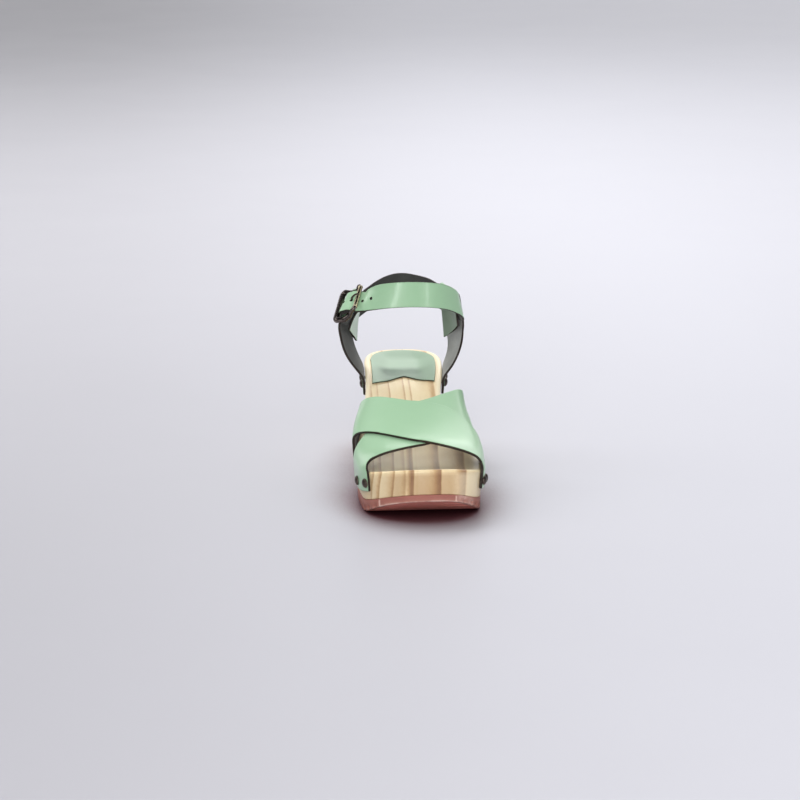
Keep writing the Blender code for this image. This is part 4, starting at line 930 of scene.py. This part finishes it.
def belt_path():
    wrap_r = BAR_R + 0.3 + BELT_T
    rows = [(BAR_TURN - 4.0 / PER_TURN, BAR_OUT + wrap_r), (BAR_TURN - 2.0 / PER_TURN, BAR_OUT + wrap_r)]
    for a in np.linspace(90, -90, 9):
        rows.append((BAR_TURN + wrap_r * math.cos(math.radians(a)) / PER_TURN, BAR_OUT + wrap_r * math.sin(math.radians(a))))
    rows += [(b, 0.0) for b in np.concatenate([np.linspace(BAR_TURN - 5, BAR_TURN - 30, 8), np.linspace(BAR_TURN - 35, -352, 40)])]
    tail = [(-q[0], q[1]) for q in TAIL]
    for b in np.concatenate([np.linspace(-8, -38, 6), np.linspace(-42, -84, 22), np.linspace(-88, TAIL_END, 8)]):
        rows.append((b - 360.0, float(spline(tail, -b)[0])))
    return np.asarray(rows)


def tail_point(turn, out, up):
    o = float(spline([(-q[0], q[1]) for q in TAIL], -turn)[0])
    return belt_point(np.array([turn - 360.0]), np.array([o + out]), np.array([up]))[0]


def build_belt():
    rows = belt_path()
    shares = edge_samples(BELT_W, 0.6, 22)
    base = resample(belt_point(rows[:, :1], rows[:, 1:], (shares * BELT_W)[None, :]), 0.6, 0.9)
    # the tail's tip is cut round
    step = np.linalg.norm(np.diff(base[:, base.shape[1] // 2], axis=0), axis=1)
    left = np.concatenate([np.cumsum(step[::-1])[::-1], [0.0]])
    k = np.clip((12.0 - left) / 12.0, 0, 1)
    keep = np.sqrt(np.clip(1 - 0.86 * k ** 2.2, 0.04, 1))[:, None, None]
    centre = base[:, base.shape[1] // 2:base.shape[1] // 2 + 1]
    base = centre + (base - centre) * keep
    m = len(base) // 2
    turn = math.atan2(base[m, 10, 0] - RING_X, base[m, 10, 1] - RING_S)
    ob = leather("belt", base, BELT_T, STRAP, (m, 10, (math.sin(turn), math.cos(turn), 0)), ["ankle_strap"], "leather", r=0.55)
    items = []
    for t in HOLES:
        a, b = tail_point(t, -0.5, BELT_W / 2), tail_point(t, BELT_T + 0.6, BELT_W / 2)
        length = np.linalg.norm(b - a)
        items.append(turned([(0, 0), (1.25, 0), (1.25, length), (0, length)], a, b - a, 20))
    pts, faces = [], []
    for p, f in items:
        q = len(pts)
        pts += list(p)
        faces += [tuple(x + q for x in g) for g in f]
    cutter = bpy.data.meshes.new("punch")
    cutter.from_pydata([tuple(p) for p in world(pts)], [], faces)
    for m_ in STRAP:
        cutter.materials.append(m_)
    for p in cutter.polygons:
        p.material_index = 1
    fix = bmesh.new()
    fix.from_mesh(cutter)
    bmesh.ops.recalc_face_normals(fix, faces=fix.faces)
    fix.to_mesh(cutter)
    fix.free()
    tool = bpy.data.objects.new("punch", cutter)
    bpy.context.scene.collection.objects.link(tool)
    mod = ob.modifiers.new("punched", "BOOLEAN")
    mod.object, mod.operation, mod.solver = tool, "DIFFERENCE", "EXACT"
    bpy.context.view_layer.update()
    done = bpy.data.meshes.new_from_object(ob.evaluated_get(bpy.context.evaluated_depsgraph_get()))
    ob.modifiers.clear()
    ob.data = done
    done.set_sharp_from_angle(angle=math.radians(38))
    bpy.data.objects.remove(tool, do_unlink=True)
    return ob


def build_buckle():
    c, n, along, up = FOOT, BUCKLE_N, BUCKLE_ALONG, BUCKLE_UP
    rod_up, g = up, math.radians(FRAME_ROLL)
    along, up = along * math.cos(g) - up * math.sin(g), up * math.cos(g) + along * math.sin(g)
    wide = FRAME_BAR + 0.5
    hw, hh, r = FRAME_W / 2 - wide / 2, FRAME_H / 2 - wide / 2, 3.2
    path, wdir = [], []
    corners = [(hw - r, hh - r, 0), (-hw + r, hh - r, 90), (-hw + r, -hh + r, 180), (hw - r, -hh + r, 270)]
    for k, (a, u, start) in enumerate(corners):
        for q in np.linspace(0, 90, 9):
            g = math.radians(start + q)
            path.append((a + r * math.cos(g), u + r * math.sin(g)))
            wdir.append((math.cos(g), math.sin(g)))
        if k in (0, 2):
            y = path[-1][1]
            for x in np.linspace(hw - r, -hw + r, 19)[1:-1] * (1 if k == 0 else -1):
                path.append((x, y))
                wdir.append((0.0, 1.0 if k == 0 else -1.0))
        else:
            x = path[-1][0]
            for y in np.linspace(hh - r, -hh + r, 15)[1:-1] * (1 if k == 1 else -1):
                path.append((x, y))
                wdir.append((-1.0 if k == 1 else 1.0, 0.0))
    P, Wd, size = [], [], []
    for (pa, pu), (wa, wu) in zip(path, wdir):
        o = FRAME_OUT - FRAME_DIP * (1 - float(smooth(2.0, 8.5, abs(pa))))
        rear = float(smooth(-hw, hw, pa))
        P.append(c + n * o + along * pa + up * pu * (1 + 0.2 * rear))
        Wd.append(along * wa + up * wu)
        size.append((wide + 1.3 * rear, FRAME_T + 0.8 + 1.0 * rear))
    ob = piece("buckle", *swept(P, Wd, [n] * len(P), size, 16, 2.6, closed=True), [PEWTER], nodes=["buckle_frame"], slot="pewter", angle=60)
    ends = c + n * BAR_OUT - rod_up * (hh + 0.9)
    rod = turned([(0, 0), (BAR_R, 0), (BAR_R, hh * 0.5), (BAR_R, hh), (BAR_R, hh * 1.5), (BAR_R, 2 * hh + 1.8), (0, 2 * hh + 1.8)], ends, rod_up, 20)
    piece("buckle_bar", *rod, [PEWTER], slot="pewter")
    # smooth roller on the front member, between rounded collars
    half = hh - 1.6
    lathe = [(0.0, -half), (1.4, -half), (1.8, -half + 0.25), (1.85, -half + 0.8), (1.65, -half + 1.3), (1.65, -half * 0.5), (1.65, 0.0), (1.65, half * 0.5),
             (1.65, half - 1.3), (1.85, half - 0.8), (1.8, half - 0.25), (1.4, half), (0.0, half)]
    piece("buckle_roller", *turned(lathe, c + n * FRAME_OUT - along * hw, up, 24), [BRASS], slot="pewter")
    # prong: out of its hole, over the front member, tip bent down a little
    rows = [(-3.0, FRAME_OUT - 1.0), (-4.4, FRAME_OUT + 0.9), (-6.4, FRAME_OUT + 2.2), (-8.6, FRAME_OUT + 2.85), (-10.4, FRAME_OUT + 3.0),
            (-12.2, FRAME_OUT + 2.5), (-13.6, FRAME_OUT + 1.6)]
    q = spline([(k, *row) for k, row in enumerate(rows)], np.linspace(0, len(rows) - 1, 30))
    P = [c + along * a + n * o for a, o in q]
    tangent = np.gradient(np.asarray(P), axis=0)
    tangent /= np.linalg.norm(tangent, axis=1, keepdims=True)
    side = [up] * len(P)
    normal = np.cross(tangent, up)
    taper = [2 * PRONG_R * (1 - 0.35 * k / (len(P) - 1)) * (1.0 if k < len(P) - 3 else (0.9, 0.7, 0.4)[k - len(P) + 3]) for k in range(len(P))]
    piece("prong", *swept(P, side, normal, [(w, w * 0.9) for w in taper], 14, 2.0), [BRONZE], nodes=["buckle_prong"], slot="pewter")
    return ob


build_wood()
build_outsole()
build_lift()
build_pad()
build_strap("under")
build_strap("over")
build_nails()
build_side("lateral")
build_side("medial")
build_belt()
build_buckle()

# ------------------------------------------------------------------ floor, light, camera
floor = bpy.data.meshes.new("floor")
floor.from_pydata([(-9, -9, 0), (9, -9, 0), (9, 9, 0), (-9, 9, 0)], [], [(0, 1, 2, 3)])
f = Shade("floor_satin", Specular_IOR_Level=0.12)
# painted light: the floor is painted lighter towards the right
painted_light_gradient = f.math("ADD", f.span(f.axes()[0], -0.4, 0.4, 0.0, 0.9, "SMOOTHSTEP"), f.math("MULTIPLY", f.noise(1.1, 2), 0.1))
# painted shadow: the floor turns dark maroon where little sky is open, under the toe and round the sole
near = f.node("AmbientOcclusion", samples=8)
f.put(near.inputs["Distance"], 0.07)
open_sky = f.span(near.outputs["AO"], 0.42, 0.84, 0.0, 1.0)
painted_contact_shadow = f.ramp(near.outputs["AO"], [(0.08, srgb(44, 15, 23)), (0.42, srgb(104, 70, 77))])
pale = f.ramp(painted_light_gradient, [(0.0, srgb(176, 175, 181)), (1.0, srgb(207, 207, 215))])
f.set("Base Color", f.mix(open_sky, painted_contact_shadow, pale))
f.set("Roughness", f.span(f.noise(6, 2), 0.3, 0.7, 0.42, 0.46))
floor.materials.append(f.m)
ground = bpy.data.objects.new("floor", floor)
bpy.context.scene.collection.objects.link(ground)


def softbox(name, at, aim, width, height, power, colour=(1.0, 1.0, 1.0)):
    light = bpy.data.lights.new(name, "AREA")
    light.shape, light.size, light.size_y, light.energy, light.color = "RECTANGLE", width, height, power, colour
    ob = bpy.data.objects.new(name, light)
    ob.location = at
    ob.rotation_euler = (Vector(aim) - Vector(at)).to_track_quat("-Z", "Y").to_euler()
    bpy.context.scene.collection.objects.link(ob)
    return ob


softbox("key", (-0.5, 1.45, 1.95), (0, 0, 0.05), 1.7, 1.3, 40.5).visible_glossy = False
softbox("rim", (0.5, 2.4, 1.6), (0, 0, 0.08), 1.4, 0.9, 7.5)
softbox("top", (0.0, -0.1, 2.4), (0, 0, 0), 2.2, 2.2, 8).visible_glossy = False
softbox("front", (-0.3, -2.05, 1.55), (0, 0, 0.08), 1.7, 0.9, 17).visible_glossy = False
softbox("low_front", (0.05, -2.3, 0.78), (0, 0, 0.05), 1.2, 0.5, 11).visible_glossy = False
softbox("left_back", (-1.4, 0.5, 1.3), (0, 0, 0.08), 0.9, 0.9, 8)
softbox("right_back", (1.4, 0.8, 1.0), (0, 0, 0.08), 0.7, 0.9, 1.6).visible_glossy = False
softbox("right", (1.3, -1.6, 0.22), (0, 0, 0.04), 0.6, 0.4, 4.2).visible_glossy = False
softbox("front_left", (-0.52, -1.75, 0.5), (0, 0, 0.14), 0.26, 1.0, 6.2)
softbox("front_right", (1.35, -1.4, 0.5), (0, 0, 0.14), 0.14, 1.0, 2.8)
softbox("wall", (0.0, 6.0, 1.4), (0, 0, 0.6), 8.0, 2.4, 58)
softbox("far", (1.9, 3.6, 3.2), (1.6, 4.2, 0.0), 4.0, 3.0, 84)

sky = bpy.data.worlds.new("studio")
sky.use_nodes = True
sky.node_tree.nodes["Background"].inputs[0].default_value = (0.93, 0.93, 1.0, 1.0)
sky.node_tree.nodes["Background"].inputs[1].default_value = 0.1
bpy.context.scene.world = sky
bpy.context.scene.view_settings.view_transform = "Standard"

yaw, rise, far = math.radians(-4.5), math.radians(13.5), 2.2
back = Vector((math.sin(yaw) * math.cos(rise), -math.cos(yaw) * math.cos(rise), math.sin(rise)))
right = Vector((math.cos(yaw), math.sin(yaw), 0.0))
up = back.cross(right)
eye = Vector(((-9.3 + ORIGIN_X) * 1e-3, 0.0, 0.065)) + back * far
lens = bpy.data.cameras.new("camera")
lens.sensor_width, lens.lens = 36.0, 36.0 * 2830.0 / 800.0
lens.clip_start, lens.clip_end = 0.05, 60.0
camera = bpy.data.objects.new("camera", lens)
camera.matrix_world = Matrix(((right.x, up.x, back.x, eye.x), (right.y, up.y, back.y, eye.y), (right.z, up.z, back.z, eye.z), (0, 0, 0, 1)))
bpy.context.scene.collection.objects.link(camera)
bpy.context.scene.camera = camera
